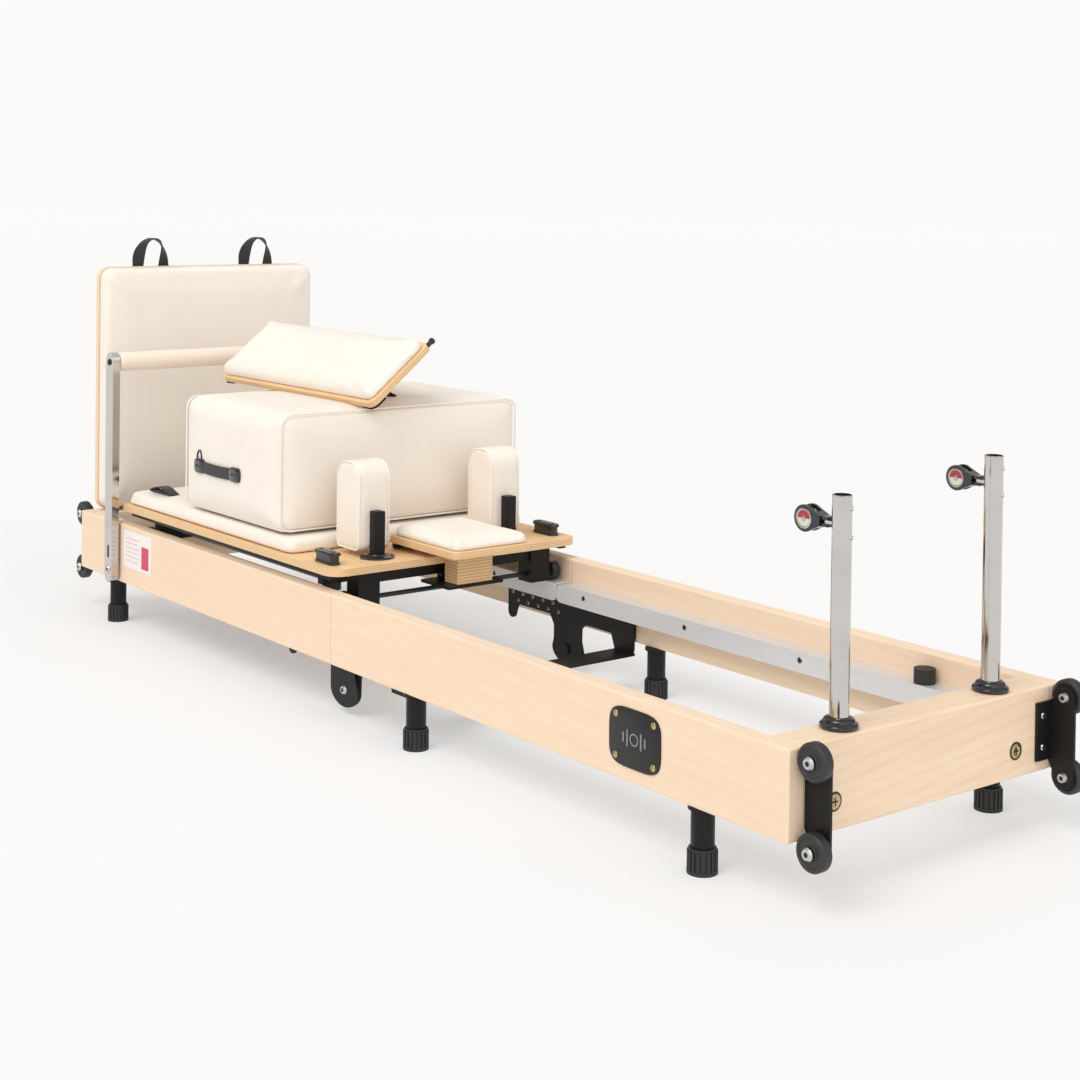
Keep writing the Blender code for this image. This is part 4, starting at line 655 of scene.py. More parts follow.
for side in ("near", "far"):
    low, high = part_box(f"post_collar_{side}")
    x, y, base = (low[0] + high[0]) / 2, (low[1] + high[1]) / 2, low[2]
    bore, wide = 0.0158, (high[0] - low[0]) / 2
    collar = turned(((bore, 0), (wide - 0.0015, 0), (wide, 0.0020), (wide, 0.0060), (wide - 0.0020, 0.0085),
                     (wide - 0.0050, 0.0098), (wide - 0.0056, 0.0130), (wide - 0.0080, 0.0155),
                     (bore + 0.0030, 0.0172), (bore + 0.0012, 0.0176), (bore, 0.0168)),
                    (x, y, base), (0, 0, 1), 56, ring=True)
    place_piece(f"collar_{side}", collar, gloss_black, "front_frame", (f"post_collar_{side}",))
    post_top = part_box(f"riser_post_{side}")[1][2]
    way = Vector((math.cos(POST_TURN), math.sin(POST_TURN), 0))
    for index, drop in enumerate((0.021, 0.065)):
        spot = Vector((x, y, post_top - drop)) + way * 0.0150
        rivet = turned(((0.0042, 0), (0.0042, 0.0010), (0.0032, 0.0020), (0, 0.0023)), spot, way, 20)
        place_piece(f"post_rivet_{side}_{index + 1}", rivet, zinc, f"{side}_post")
    # A near-black disc just inside the top of the post: painted shade in the tube's mouth.
    mouth = turned(((0.0134, -0.0002), (0.0134, 0.0004), (0, 0.0004)), (x, y, post_top - 0.014),
                   (0, 0, 1), 40)
    place_piece(f"post_mouth_{side}", mouth, recess_shade_paint, f"{side}_post")
    block_low, block_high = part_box(f"pulley_block_{side}")
    sheave_low, sheave_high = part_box(f"pulley_sheave_{side}")
    hub = Vector(((sheave_low[0] + sheave_high[0]) / 2, y, (sheave_low[2] + sheave_high[2]) / 2))
    for face, out in (("a", -1), ("b", 1)):
        cheek = (hub[0], y + out * (block_high[1] - block_low[1]) / 2, hub[2])
        trim = turned(((0.0128, -0.0002), (0.0128, 0.0010), (0.0142, 0.0016), (0.0158, 0.0010),
                       (0.0158, -0.0002)), cheek, (0, out, 0), 40, ring=True)
        place_piece(f"pulley_trim_{side}_{face}", trim, zinc, f"{side}_pulley")
        for half, enamel, spin in (("upper", red_enamel, 1), ("lower", pale_enamel, -1)):
            arc = [(0.0127 * math.cos(a), spin * 0.0127 * math.sin(a))
                   for a in (math.pi * step / 14 for step in range(15))]
            arc = arc if spin > 0 else arc[::-1]
            insert = outline_plate(arc, 0.0001, 0.0007, on_side(*cheek, out), 0)
            place_piece(f"pulley_insert_{side}_{face}_{half}", insert, enamel, f"{side}_pulley")
        hub_cap = turned(((0.0040, 0.0005), (0.0040, 0.0018), (0.0028, 0.0026), (0, 0.0026)), cheek,
                         (0, out, 0), 20)
        place_piece(f"pulley_rivet_{side}_{face}", hub_cap, zinc, f"{side}_pulley")

# ------------------------------------------------------------------------------------------------
# Springs: two close-wound steel springs with hooked ends, from the bar at the foot end to the carriage.
# Their hooks ride on the frame and on the carriage; the coils themselves stay in place.
spring_tree, spring_in, spring_out = nodes_tree(
    "close-wound spring",
    {"Turns": 80.0, "Coil Radius": 0.010, "Length": 0.5, "Wire Radius": 0.0015}, ("Wire",))
helix = put(spring_tree, "GeometryNodeCurveSpiral",
            {"Resolution": 14, "Rotations": spring_in["Turns"], "Start Radius": spring_in["Coil Radius"],
             "End Radius": spring_in["Coil Radius"], "Height": spring_in["Length"]}).outputs["Curve"]
wire_section = put(spring_tree, "GeometryNodeCurvePrimitiveCircle",
                   {"Resolution": 7, "Radius": spring_in["Wire Radius"]}).outputs["Curve"]
coil = put(spring_tree, "GeometryNodeCurveToMesh",
           {"Curve": helix, "Profile Curve": wire_section, "Fill Caps": True}).outputs["Mesh"]
spring_tree.links.new(realized(spring_tree, coil, spring_in["Wire"]), spring_out[0])
spring_wire = worn("spring steel", (0.24, 0.24, 0.25), (0.13, 0.13, 0.135), 0.3, 0.2, 500, 0.0001,
                   metallic=1.0)


def sweep(points, radius, closed=False, sides=10, flat=1.0, up=(0, 0, 1)):
    """A round or flattened bar along a smooth row of points, with its flat side square to the up direction."""
    shape = bmesh.new()
    angles = [2 * math.pi * side / sides for side in range(sides)]
    points = [Vector(point) for point in points]
    rows, count = [], len(points)
    for index, point in enumerate(points):
        after = points[(index + 1) % count] if closed or index + 1 < count else point
        before = points[index - 1] if closed or index else point
        ahead = (after - before).normalized()
        across = ahead.cross(Vector(up)).normalized()
        normal = across.cross(ahead)
        rows.append([shape.verts.new(point + across * radius * math.cos(angle)
                                     + normal * radius * flat * math.sin(angle)) for angle in angles])
    for index in range(count if closed else count - 1):
        low, high = rows[index], rows[(index + 1) % count]
        for side in range(sides):
            shape.faces.new((low[side], low[(side + 1) % sides], high[(side + 1) % sides], high[side]))
    if not closed:
        shape.faces.new(rows[0])
        shape.faces.new(rows[-1])
    return shape


for side in ("near", "far"):
    low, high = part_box(f"spring_{side}")
    y, z, radius = (low[1] + high[1]) / 2, (low[2] + high[2]) / 2, (high[1] - low[1]) / 2
    wire = 0.0017
    lie_along = Matrix.Translation((low[0] + 0.022, y, z)) @ Matrix.Rotation(math.pi / 2, 4, "Y")
    coil_mesh = from_nodes(spring_tree, lie_along, turns=110.0, coil_radius=radius - wire,
                           length=high[0] - low[0] - 0.044, wire_radius=wire, wire=spring_wire)
    spring = place_piece(f"spring_coil_{side}", coil_mesh, None, None)
    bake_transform(spring)
    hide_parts(f"spring_{side}")
    for end, body, hook_x, way in (("rear", "rear_frame", low[0], 1), ("front", "carriage", high[0], -1)):
        hook = [(hook_x + way * (0.026 - 0.013 * (1 - math.cos(a)) - 0.010 * a / math.pi), y,
                 z + 0.0095 * math.cos(a)) for a in (math.pi * step / 10 for step in range(11))]
        place_piece(f"spring_hook_{side}_{end}", sweep(hook, wire, up=(0, 1, 0)), spring_wire, body)

# ------------------------------------------------------------------------------------------------
# Carriage: a clear-lacquered birch ply deck on a black steel subframe with rollers. A block of stacked
# ply carries the headrest; insert nuts for other shoulder-rest positions are let into the deck.
layers, layers_in, layers_out = effect(
    "ply layers", (("Vector", VECTOR, (0, 0, 0)), ("Layer", NUMBER, 0.0015),
                   ("Light", COLOUR, (0.8, 0.6, 0.4, 1)), ("Dark", COLOUR, (0.6, 0.4, 0.2, 1))),
    (("Colour", COLOUR), ("Height", NUMBER)))
split_up = put(layers, "ShaderNodeSeparateXYZ", {"Vector": layers_in.outputs["Vector"]}).outputs["Z"]
wobble = put(layers, "ShaderNodeTexNoise", {"Vector": layers_in.outputs["Vector"], "Scale": 30.0})
shifted = calculate(layers, "MULTIPLY_ADD", wobble.outputs["Fac"], 0.0005, split_up)
phase = calculate(layers, "DIVIDE", shifted, layers_in.outputs["Layer"])
stripe = calculate(layers, "SINE", calculate(layers, "MULTIPLY", phase, math.pi))
firm = put(layers, "ShaderNodeMapRange",
           {"Value": stripe, "From Min": -0.35, "From Max": 0.35}).outputs["Result"]
squeezed = stretch(layers, layers_in.outputs["Vector"], (60, 60, 700))
ends = put(layers, "ShaderNodeTexNoise", {"Vector": squeezed, "Scale": 4.0, "Detail": 3.0})
fuzz = calculate(layers, "MULTIPLY", ends.outputs["Fac"], 0.45)
striped = calculate(layers, "MULTIPLY_ADD", firm, 0.7, fuzz)
layers.links.new(tint(layers, striped, layers_in.outputs["Dark"], layers_in.outputs["Light"]),
                 layers_out.inputs["Colour"])
layers.links.new(firm, layers_out.inputs["Height"])


def ply(name, turn=(0, 0, 0), layer=0.0018, light=(0.84, 0.60, 0.35, 1), dark=(0.60, 0.35, 0.155, 1)):
    """Lacquered birch ply: face grain where the surface is square to its thickness, glued layers on its edges.
    The turn lays the board's thickness along Z."""
    made, tree, shader = principled(name, specular_ior_level=0.45, coat_weight=0.08, coat_roughness=0.3)
    spot = put(tree, "ShaderNodeTexCoord")
    flat = put(tree, "ShaderNodeMapping", {"Vector": spot.outputs["Object"], "Rotation": turn}).outputs[0]
    facing = put(tree, "ShaderNodeMapping", {"Vector": spot.outputs["Normal"], "Rotation": turn}).outputs[0]
    upright = calculate(tree, "ABSOLUTE", put(tree, "ShaderNodeSeparateXYZ", {"Vector": facing}).outputs["Z"])
    is_face = calculate(tree, "GREATER_THAN", upright, 0.8)
    face_grain = use_effect(tree, grain, vector=flat, light=(0.84, 0.57, 0.31, 1), dark=(0.72, 0.43, 0.19, 1),
                            figure=0.9)
    edge_grain = use_effect(tree, layers, vector=flat, layer=layer, light=light, dark=dark)
    tree.links.new(tint(tree, is_face, edge_grain.outputs["Colour"], face_grain.outputs["Colour"]),
                   shader.inputs["Base Color"])
    tree.links.new(face_grain.outputs["Roughness"], shader.inputs["Roughness"])
    tree.links.new(bump(tree, edge_grain.outputs["Height"], 0.2, 0.0003), shader.inputs["Normal"])
    return made


deck_ply = ply("deck ply")
block_ply = ply("block ply", layer=0.0032)
paint(deck_ply, "carriage_deck")
paint(block_ply, "headrest_block")
paint(black_plastic, "front_roller_axle", "rear_roller_axle")
deck_low, deck_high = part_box("carriage_deck")
REST_POST_X, REST_POST_Y = -0.117, 0.170
for side, out in (("near", -1), ("far", 1)):
    for index, offset in enumerate((-0.062, 0.062)):
        nut_place = (REST_POST_X, out * (REST_POST_Y + offset * 0.55), deck_high[2])
        nut = turned(((0.0042, -0.0010), (0.0042, 0.0003), (0.0075, 0.0006), (0.0080, 0.0001),
                      (0.0080, -0.0010)), nut_place, (0, 0, 1), 24, ring=True)
        place_piece(f"deck_nut_{side}_{index + 1}", nut, zinc, "carriage")
    angle = rounded_box((deck_low[0] + 0.030, min(out * 0.286, out * 0.304), 0.262),
                        (deck_high[0] - 0.030, max(out * 0.286, out * 0.304), deck_low[2] - 0.0003), 0.0012, 2)
    place_piece(f"deck_angle_{side}", angle, black_steel, "carriage")

# ------------------------------------------------------------------------------------------------
# Rope cleats: moulded oblong buttons bolted to the deck's front corners, with a waist for the rope.
# Each has two bolts sunk in its top, drawn as near-black dishes: painted shade in their holes.
for side, out in (("near", -1), ("far", 1)):
    cleat = bmesh.new()
    cleat_x, cleat_y = -0.128, out * 0.283
    for low_z, high_z, grow, edge in ((0.0002, 0.0045, 0.0, 0.0008), (0.0040, 0.0200, -0.0022, 0.0),
                                      (0.0190, 0.0255, 0.0010, 0.0028)):
        outline_plate(rounded_outline(0.074 + 2 * grow, 0.026 + 2 * grow, 0.0128 + grow), low_z, high_z,
                      Matrix.Translation((cleat_x, cleat_y, deck_high[2])), edge, cleat)
    place_piece(f"rope_cleat_{side}", cleat, gloss_black, "carriage")
    for index, offset in enumerate((-0.024, 0.024)):
        # Painted shade: each sunk bolt is a near-black dish in the recess material.
        bolt = turned(((0.0044, -0.0006), (0.0044, 0.0002), (0.0020, 0.0002), (0.0018, -0.0010), (0, -0.0010)),
                      (cleat_x + offset, cleat_y, deck_high[2] + 0.0256), (0, 0, 1), 18)
        place_piece(f"cleat_bolt_{side}_{index + 1}", bolt, recess_shade_paint, "carriage")

# ------------------------------------------------------------------------------------------------
# Carriage pad: firm foam under cream leatherette, stapled beneath the deck's edge, so its top is crowned
# where it is free and its rim is pulled down all round.
leather, leather_in, leather_out = effect(
    "leatherette grain", (("Vector", VECTOR, (0, 0, 0)), ("Colour", COLOUR, (0.8, 0.7, 0.6, 1)),
                          ("Mottle", NUMBER, 0.05)),
    (("Colour", COLOUR), ("Roughness", NUMBER), ("Height", NUMBER)))
pebbles = put(leather, "ShaderNodeTexVoronoi", {"Vector": leather_in.outputs["Vector"], "Scale": 620.0},
              feature="SMOOTH_F1")
creases = put(leather, "ShaderNodeTexNoise",
              {"Vector": leather_in.outputs["Vector"], "Scale": 9.0, "Detail": 4.0, "Distortion": 0.6})
# Painted shade: the colour drops in the grooves between pebbles, where the height is low, and rises and falls
# with the creases' height, which is partly real mottle.
crease_tone_and_shade = calculate(leather, "SUBTRACT", creases.outputs["Fac"], 0.5)
pebble_groove_shade = calculate(leather, "MULTIPLY_ADD", pebbles.outputs["Distance"], -0.10, 1.02)
painted_shade_and_tone = calculate(leather, "MULTIPLY_ADD", crease_tone_and_shade, leather_in.outputs["Mottle"], pebble_groove_shade)
scaled = put(leather, "ShaderNodeVectorMath", {0: leather_in.outputs["Colour"], "Scale": painted_shade_and_tone},
             operation="SCALE").outputs[0]
leather.links.new(scaled, leather_out.inputs["Colour"])
leather.links.new(calculate(leather, "MULTIPLY_ADD", creases.outputs["Fac"], 0.22, 0.36),
                  leather_out.inputs["Roughness"])
leather.links.new(calculate(leather, "MULTIPLY_ADD", creases.outputs["Fac"], 0.8,
                            calculate(leather, "MULTIPLY", pebbles.outputs["Distance"], -0.55)),
                  leather_out.inputs["Height"])


def leatherette(name, colour):
    """Soft leatherette in a colour, finely pebbled, with painted shade in its grooves and creases; the creases'
    mottle is partly real tone.
    """
    made, tree, shader = principled(name, specular_ior_level=0.42, sheen_weight=0.08, sheen_roughness=0.4)
    spot = put(tree, "ShaderNodeTexCoord").outputs["Object"]
    hide = use_effect(tree, leather, vector=spot, colour=colour, mottle=0.08)
    tree.links.new(hide.outputs["Colour"], shader.inputs["Base Color"])
    tree.links.new(hide.outputs["Roughness"], shader.inputs["Roughness"])
    tree.links.new(bump(tree, hide.outputs["Height"], 0.22, 0.0006), shader.inputs["Normal"])
    return made


cream = leatherette("cream leatherette", (0.865, 0.800, 0.712, 1))


def foam_block(low, high, corner, edge, base, cells):
    """A foam pad between two corners: its plan corners are rounded, its top edge turns over with the edge
    radius and its bottom edge with the base radius, on a grid fine enough to bend."""
    shape = bmesh.new()
    width, depth, tall = high[0] - low[0], high[1] - low[1], high[2] - low[2]
    centre = Vector(((low[0] + high[0]) / 2, (low[1] + high[1]) / 2, low[2]))
    turn_steps = 6
    levels = [(base * (1 - math.sin(a)), base * (1 - math.cos(a)))
              for a in (math.pi / 2 * step / 3 for step in range(4))]
    levels += [(0, base + (tall - base - edge) * step / 4) for step in range(1, 4)]
    levels += [(edge * (1 - math.cos(a)), tall - edge + edge * math.sin(a))
               for a in (math.pi / 2 * step / turn_steps for step in range(turn_steps + 1))]
    rows = []
    for inset, z in levels:
        radius = max(corner - inset, 0.002)
        ring = rounded_outline(width - 2 * inset, depth - 2 * inset, radius, 6)
        spaced = []
        for (x0, y0), (x1, y1) in zip(ring, ring[1:] + ring[:1]):
            gap = math.dist((x0, y0), (x1, y1))
            pieces = max(1, round((width if abs(x1 - x0) > abs(y1 - y0) else depth) / cells)) \
                if gap > 4 * corner / 6 and gap > cells else 1
            spaced += [(x0 + (x1 - x0) * t / pieces, y0 + (y1 - y0) * t / pieces) for t in range(pieces)]
        rows.append([shape.verts.new(centre + Vector((x, y, z))) for x, y in spaced])
    for lower, upper in zip(rows, rows[1:]):
        for step in range(len(lower)):
            after = (step + 1) % len(lower)
            shape.faces.new((lower[step], lower[after], upper[after], upper[step]))
    shape.faces.new(rows[0])
    shape.faces.new(rows[-1])
    return shape


def scratch_object(mesh, name):
    """A scratch object that holds a mesh, for modifiers to work on."""
    scratch = bpy.data.objects.new(name, mesh)
    bpy.context.scene.collection.objects.link(scratch)
    return scratch


def baked(scratch):
    """The mesh that a scratch object's modifiers make; the scratch object is removed."""
    graph = bpy.context.evaluated_depsgraph_get()
    mesh = bpy.data.meshes.new_from_object(scratch.evaluated_get(graph), depsgraph=graph)
    bpy.data.objects.remove(scratch)
    return mesh


def stuffed(shape, name, voxel, swell, held):
    """A cover filled with foam: remeshed, blown up by cloth simulation where it isn't held, and smoothed.
    No point moves more than the swell."""
    mesh = bpy.data.meshes.new(name)
    bmesh.ops.recalc_face_normals(shape, faces=shape.faces[:])
    shape.to_mesh(mesh)
    shape.free()
    scratch = scratch_object(mesh, name)
    remesh = scratch.modifiers.new("skin", "REMESH")
    remesh.mode, remesh.voxel_size = "VOXEL", voxel
    scratch = scratch_object(baked(scratch), name)
    rest = [vert.co.copy() for vert in scratch.data.vertices]
    pinned = scratch.vertex_groups.new(name="held")
    pinned.add([index for index, co in enumerate(rest) if held(co)], 1.0, "REPLACE")
    cloth = scratch.modifiers.new("cover", "CLOTH")
    cloth.settings.use_pressure = True
    cloth.settings.uniform_pressure_force = 4.0
    cloth.settings.effector_weights.gravity = 0
    cloth.settings.vertex_group_mass = "held"
    for number in range(1, 21):
        bpy.context.scene.frame_set(number)
    graph = bpy.context.evaluated_depsgraph_get()
    blown = [vert.co.copy() for vert in scratch.evaluated_get(graph).data.vertices]
    scratch.modifiers.remove(cloth)
    for vert, start, end in zip(scratch.data.vertices, rest, blown):
        way = end - start
        if way.length > 1e-6:
            vert.co = start + way.normalized() * swell * math.tanh(way.length / swell)
    bpy.context.scene.frame_set(1)
    soften = scratch.modifiers.new("soften", "SMOOTH")
    soften.factor, soften.iterations = 0.5, 4
    finer = scratch.modifiers.new("finer", "SUBSURF")
    finer.levels = finer.render_levels = 1
    return baked(scratch)


pad_low, pad_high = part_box("carriage_pad")
pad_shape = foam_block((pad_low[0] + 0.003, pad_low[1] + 0.003, pad_low[2]),
                       (pad_high[0] - 0.003, pad_high[1] - 0.003, pad_high[2] - 0.0025),
                       0.020, 0.013, 0.003, 0.03)
box_low, box_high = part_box("long_box")
pad_mesh = stuffed(pad_shape, "carriage_cushion", 0.006, 0.005,
                   lambda co: co.z < pad_low[2] + 0.006
                   or box_low[0] - 0.004 < co.x < box_high[0] + 0.004 and co.z > pad_high[2] - 0.006)
carriage_cushion = place_piece("carriage_cushion", pad_mesh, cream, "carriage",
                               ("carriage_pad",), 60)

# ------------------------------------------------------------------------------------------------
# Pad loop: a loop of polyester webbing left lying on the pad's rear corner, folded nearly flat.
# The same webbing makes the box handle and the jump board's lifting loops.
webbing, webbing_tree, webbing_shader = principled("polyester webbing", sheen_weight=0.15)
webbing_where = put(webbing_tree, "ShaderNodeTexCoord").outputs["Object"]
weave = put(webbing_tree, "ShaderNodeTexWave",
            {"Vector": webbing_where, "Scale": 260.0, "Distortion": 0.6, "Detail": 1.0},
            bands_direction="DIAGONAL")
webbing_tree.links.new(
    tint(webbing_tree, weave.outputs["Fac"], (0.008, 0.008, 0.009, 1), (0.024, 0.024, 0.026, 1)),
    webbing_shader.inputs["Base Color"])
webbing_tree.links.new(calculate(webbing_tree, "MULTIPLY_ADD", weave.outputs["Fac"], 0.2, 0.62),
                       webbing_shader.inputs["Roughness"])
webbing_tree.links.new(bump(webbing_tree, weave.outputs["Fac"], 0.5, 0.0005), webbing_shader.inputs["Normal"])


def strap(points, width, thickness, across, shape=None):
    """A flat strap along a row of points; across is the way its width lies, or a list of them, one a point."""
    shape = shape or bmesh.new()
    points = [Vector(point) for point in points]
    ways = [Vector(way) for way in across] if isinstance(across, list) else [Vector(across)] * len(points)
    rows = []
    for index, point in enumerate(points):
        across = ways[index].normalized()
        ahead = (points[min(index + 1, len(points) - 1)] - points[max(index - 1, 0)]).normalized()
        normal = ahead.cross(across).normalized()
        half, thick, lip = across * width / 2, normal * thickness / 2, across * thickness / 2
        rows.append([shape.verts.new(point + corner) for corner in (
            -half + lip + thick, half - lip + thick, half, half - lip - thick, -half + lip - thick, -half)])
    for low, high in zip(rows, rows[1:]):
        for side in range(6):
            shape.faces.new((low[side], low[(side + 1) % 6], high[(side + 1) % 6], high[side]))
    shape.faces.new(rows[0])
    shape.faces.new(rows[-1])
    return shape


LOOP_X, LOOP_Y = -0.885, -0.262
lying = bmesh.new()
fold = [(LOOP_X - 0.052 + 0.104 * step / 14, LOOP_Y,
         pad_high[2] + 0.003 + 0.012 * math.sin(math.pi * step / 14)) for step in range(15)]
strap(fold, 0.026, 0.0030, (0, 1, 0), lying)
strap([(x, y + 0.002, z * 0.25 + (pad_high[2] + 0.003) * 0.75 - 0.002) for x, y, z in fold], 0.026, 0.0030,
      (0, 1, 0), lying)
place_piece("pad_loop", lying, webbing, "carriage")

# ------------------------------------------------------------------------------------------------
# Shoulder rests: upright foam pads, arched on top, with a piped seam round both cheeks. Each is held by a
# square black post in a turned flange that drops into the deck.


def arch_outline(x_low, x_high, z_low, z_high, top, bottom):
    """The (x, z) outline of an upright pad with large top corners and small bottom ones."""
    points = []
    steps = 8
    for turn, (x, z, radius) in enumerate(((x_high - top, z_high - top, top), (x_low + top, z_high - top, top),
                                           (x_low + bottom, z_low + bottom, bottom),
                                           (x_high - bottom, z_low + bottom, bottom))):
        for step in range(steps + 1):
            angle = math.pi / 2 * (turn + step / steps)
            points.append((x + radius * math.cos(angle), z + radius * math.sin(angle)))
    return points


REST_X_LOW, REST_Z_LOW = -0.217, 0.3000
for side, out in (("near", -1), ("far", 1)):
    low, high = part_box(f"shoulder_rest_{side}")
    post_x, post_y, deck_top = REST_POST_X, out * REST_POST_Y, deck_high[2]
    rest_front = post_x - 0.0105
    edge = 0.010
    pad = bmesh.new()
    rows = []
    half = (high[1] - low[1]) / 2 - 0.003
    sides = [(edge * (1 - math.sin(a)), -half + edge * (1 - math.cos(a)))
             for a in (math.pi / 2 * step / 4 for step in range(5))]
    sides += [(0.0, -half + edge + (2 * half - 2 * edge) * step / 8) for step in range(1, 8)]
    sides += [(inset, -y) for inset, y in reversed(sides[:5])]
    for inset, y in sides:
        ring = arch_outline(REST_X_LOW + 0.002 + inset, rest_front - 0.001 - inset, REST_Z_LOW + 0.002 + inset,
                            high[2] - 0.002 - inset, 0.034 - inset, max(0.014 - inset, 0.003))
        rows.append([pad.verts.new((x, post_y + y, z)) for x, z in ring])
    for a, b in zip(rows, rows[1:]):
        for step in range(len(a)):
            pad.faces.new((a[step], a[(step + 1) % len(a)], b[(step + 1) % len(a)], b[step]))
    pad.faces.new(rows[0])
    pad.faces.new(rows[-1])
    rest_mesh = stuffed(pad, f"shoulder_cushion_{side}", 0.004, 0.0035,
                        lambda co: abs(abs(co.y - post_y) - (half - 0.004)) < 0.005
                        or co.x > rest_front - 0.006 and co.z < 0.40)
    cushion = place_piece(f"shoulder_cushion_{side}", rest_mesh, cream, "carriage",
                          (f"shoulder_rest_{side}",), 60)
    for cheek, way in (("inner", -1), ("outer", 1)):
        line = arch_outline(REST_X_LOW + 0.004, rest_front - 0.003, REST_Z_LOW + 0.004, high[2] - 0.004,
                            0.033, 0.013)
        cord = sweep([(x, post_y + way * (half - 0.0030), z) for x, z in line], 0.0022, True, 8, up=(0, 1, 0))
        place_piece(f"shoulder_piping_{side}_{cheek}", cord, cream, "carriage")
    bar = rounded_box((post_x - 0.012, post_y - 0.012, deck_top + 0.0005),
                      (post_x + 0.012, post_y + 0.012, 0.385), 0.0022, 3)
    place_piece(f"shoulder_post_{side}", bar, black_steel, "carriage")
    flange = turned(((0.0360, 0.0002), (0.0360, 0.0026), (0.0345, 0.0040), (0.0230, 0.0044), (0.0200, 0.0056),
                     (0.0185, 0.0078), (0.0160, 0.0084), (0, 0.0084)), (post_x, post_y, deck_top),
                    (0, 0, 1), 56)
    place_piece(f"shoulder_flange_{side}", flange, gloss_black, "carriage")

# ------------------------------------------------------------------------------------------------
# Headrest: a ply board with a foam pad stapled on, hinged at its rear edge on two small steel barrels.
# The pad is crowned on top and held all round where it meets the board.


def ply_board(low, high, corner):
    """A board between two corners, rounded in plan and eased along its edges."""
    centre = Matrix.Translation(((low[0] + high[0]) / 2, (low[1] + high[1]) / 2, 0))
    outline = rounded_outline(high[0] - low[0], high[1] - low[1], corner)
    return outline_plate(outline, low[2], high[2], centre, 0.0012)


rest_low, rest_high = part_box("headrest")
BOARD_TOP = 0.3185
headrest_board = ply_board((rest_low[0], rest_low[1], 0.3035), (rest_high[0], rest_high[1], BOARD_TOP), 0.012)
place_piece("headrest_board", headrest_board, ply("headrest ply"), "headrest")
head_shape = foam_block((rest_low[0] + 0.007, rest_low[1] + 0.007, BOARD_TOP + 0.0002),
                        (rest_high[0] - 0.007, rest_high[1] - 0.007, rest_high[2] - 0.0035),
                        0.014, 0.013, 0.002, 0.012)
head_mesh = stuffed(head_shape, "headrest_cushion", 0.004, 0.0045, lambda co: co.z < BOARD_TOP + 0.005)
headrest_cushion = place_piece("headrest_cushion", head_mesh, cream, "headrest",
                               ("headrest",), 60)
for side, out in (("near", -1), ("far", 1)):
    knuckle = turned(((0.0072, -0.022), (0.0072, -0.0075), (0.0066, -0.0072), (0.0066, -0.0068),
                      (0.0072, -0.0065), (0.0072, 0.0065), (0.0066, 0.0068), (0.0066, 0.0072),
                      (0.0072, 0.0075), (0.0072, 0.022)), (-0.1707, out * 0.070, 0.2966), (0, 1, 0), 24)
    place_piece(f"headrest_knuckle_{side}", knuckle, black_steel, "headrest")

# ------------------------------------------------------------------------------------------------
# Long box: a padded timber box in cream leatherette. The long cover wraps round it and the two end covers
# are sewn in with piping; a webbing handle with moulded ends is screwed to the near side.
BOX_EASE = 0.028
box_shape = rounded_box((box_low[0] + 0.003, box_low[1] + 0.002, box_low[2]),
                        (box_high[0] - 0.003, box_high[1] - 0.002, box_high[2] - 0.002), BOX_EASE, 6)
SEAM_INSET = 0.010


def on_box_seam(co):
    """True along the two piped seams and on the side that lies on the carriage."""
    near_end = min(abs(co.x - box_low[0] - SEAM_INSET), abs(co.x - box_high[0] + SEAM_INSET)) < 0.008
    rim = min(co.y - box_low[1], box_high[1] - co.y, co.z - box_low[2], box_high[2] - co.z) < 0.016
    return near_end and rim or co.z < box_low[2] + 0.006


box_mesh = stuffed(box_shape, "box_cover", 0.008, 0.0045, on_box_seam)
box_cover = place_piece("box_cover", box_mesh, cream, "long_box", ("long_box",), 60)
piping_tree, piping_in, piping_out = nodes_tree(
    "piping round a rectangle",
    {"Width": 0.4, "Height": 0.2, "Corner": 0.02, "Cord Radius": 0.002}, ("Cover",))
frame_line = put(piping_tree, "GeometryNodeCurvePrimitiveQuadrilateral",
                 {"Width": piping_in["Width"], "Height": piping_in["Height"]}).outputs[0]
turned_line = put(piping_tree, "GeometryNodeFilletCurve",
                  {"Curve": frame_line, "Count": 10, "Radius": piping_in["Corner"]}, mode="POLY").outputs[0]
cord_section = put(piping_tree, "GeometryNodeCurvePrimitiveCircle",
                   {"Resolution": 8, "Radius": piping_in["Cord Radius"]}).outputs["Curve"]
cord_mesh = put(piping_tree, "GeometryNodeCurveToMesh",
                {"Curve": turned_line, "Profile Curve": cord_section}).outputs["Mesh"]
piping_tree.links.new(realized(piping_tree, cord_mesh, piping_in["Cover"]), piping_out[0])
for end, x in (("rear", box_low[0] + SEAM_INSET), ("front", box_high[0] - SEAM_INSET)):
    upright = Matrix.Translation((x, (box_low[1] + box_high[1]) / 2, (box_low[2] + box_high[2]) / 2))
    upright = upright @ Matrix(((0, 0, 1), (1, 0, 0), (0, 1, 0))).to_4x4()
    seam = from_nodes(piping_tree, upright, width=box_high[1] - box_low[1] - 0.012,
                      height=box_high[2] - box_low[2] - 0.012, corner=0.026, cord_radius=0.0020, cover=cream)
    place_piece(f"box_piping_{end}", seam, None, "long_box")

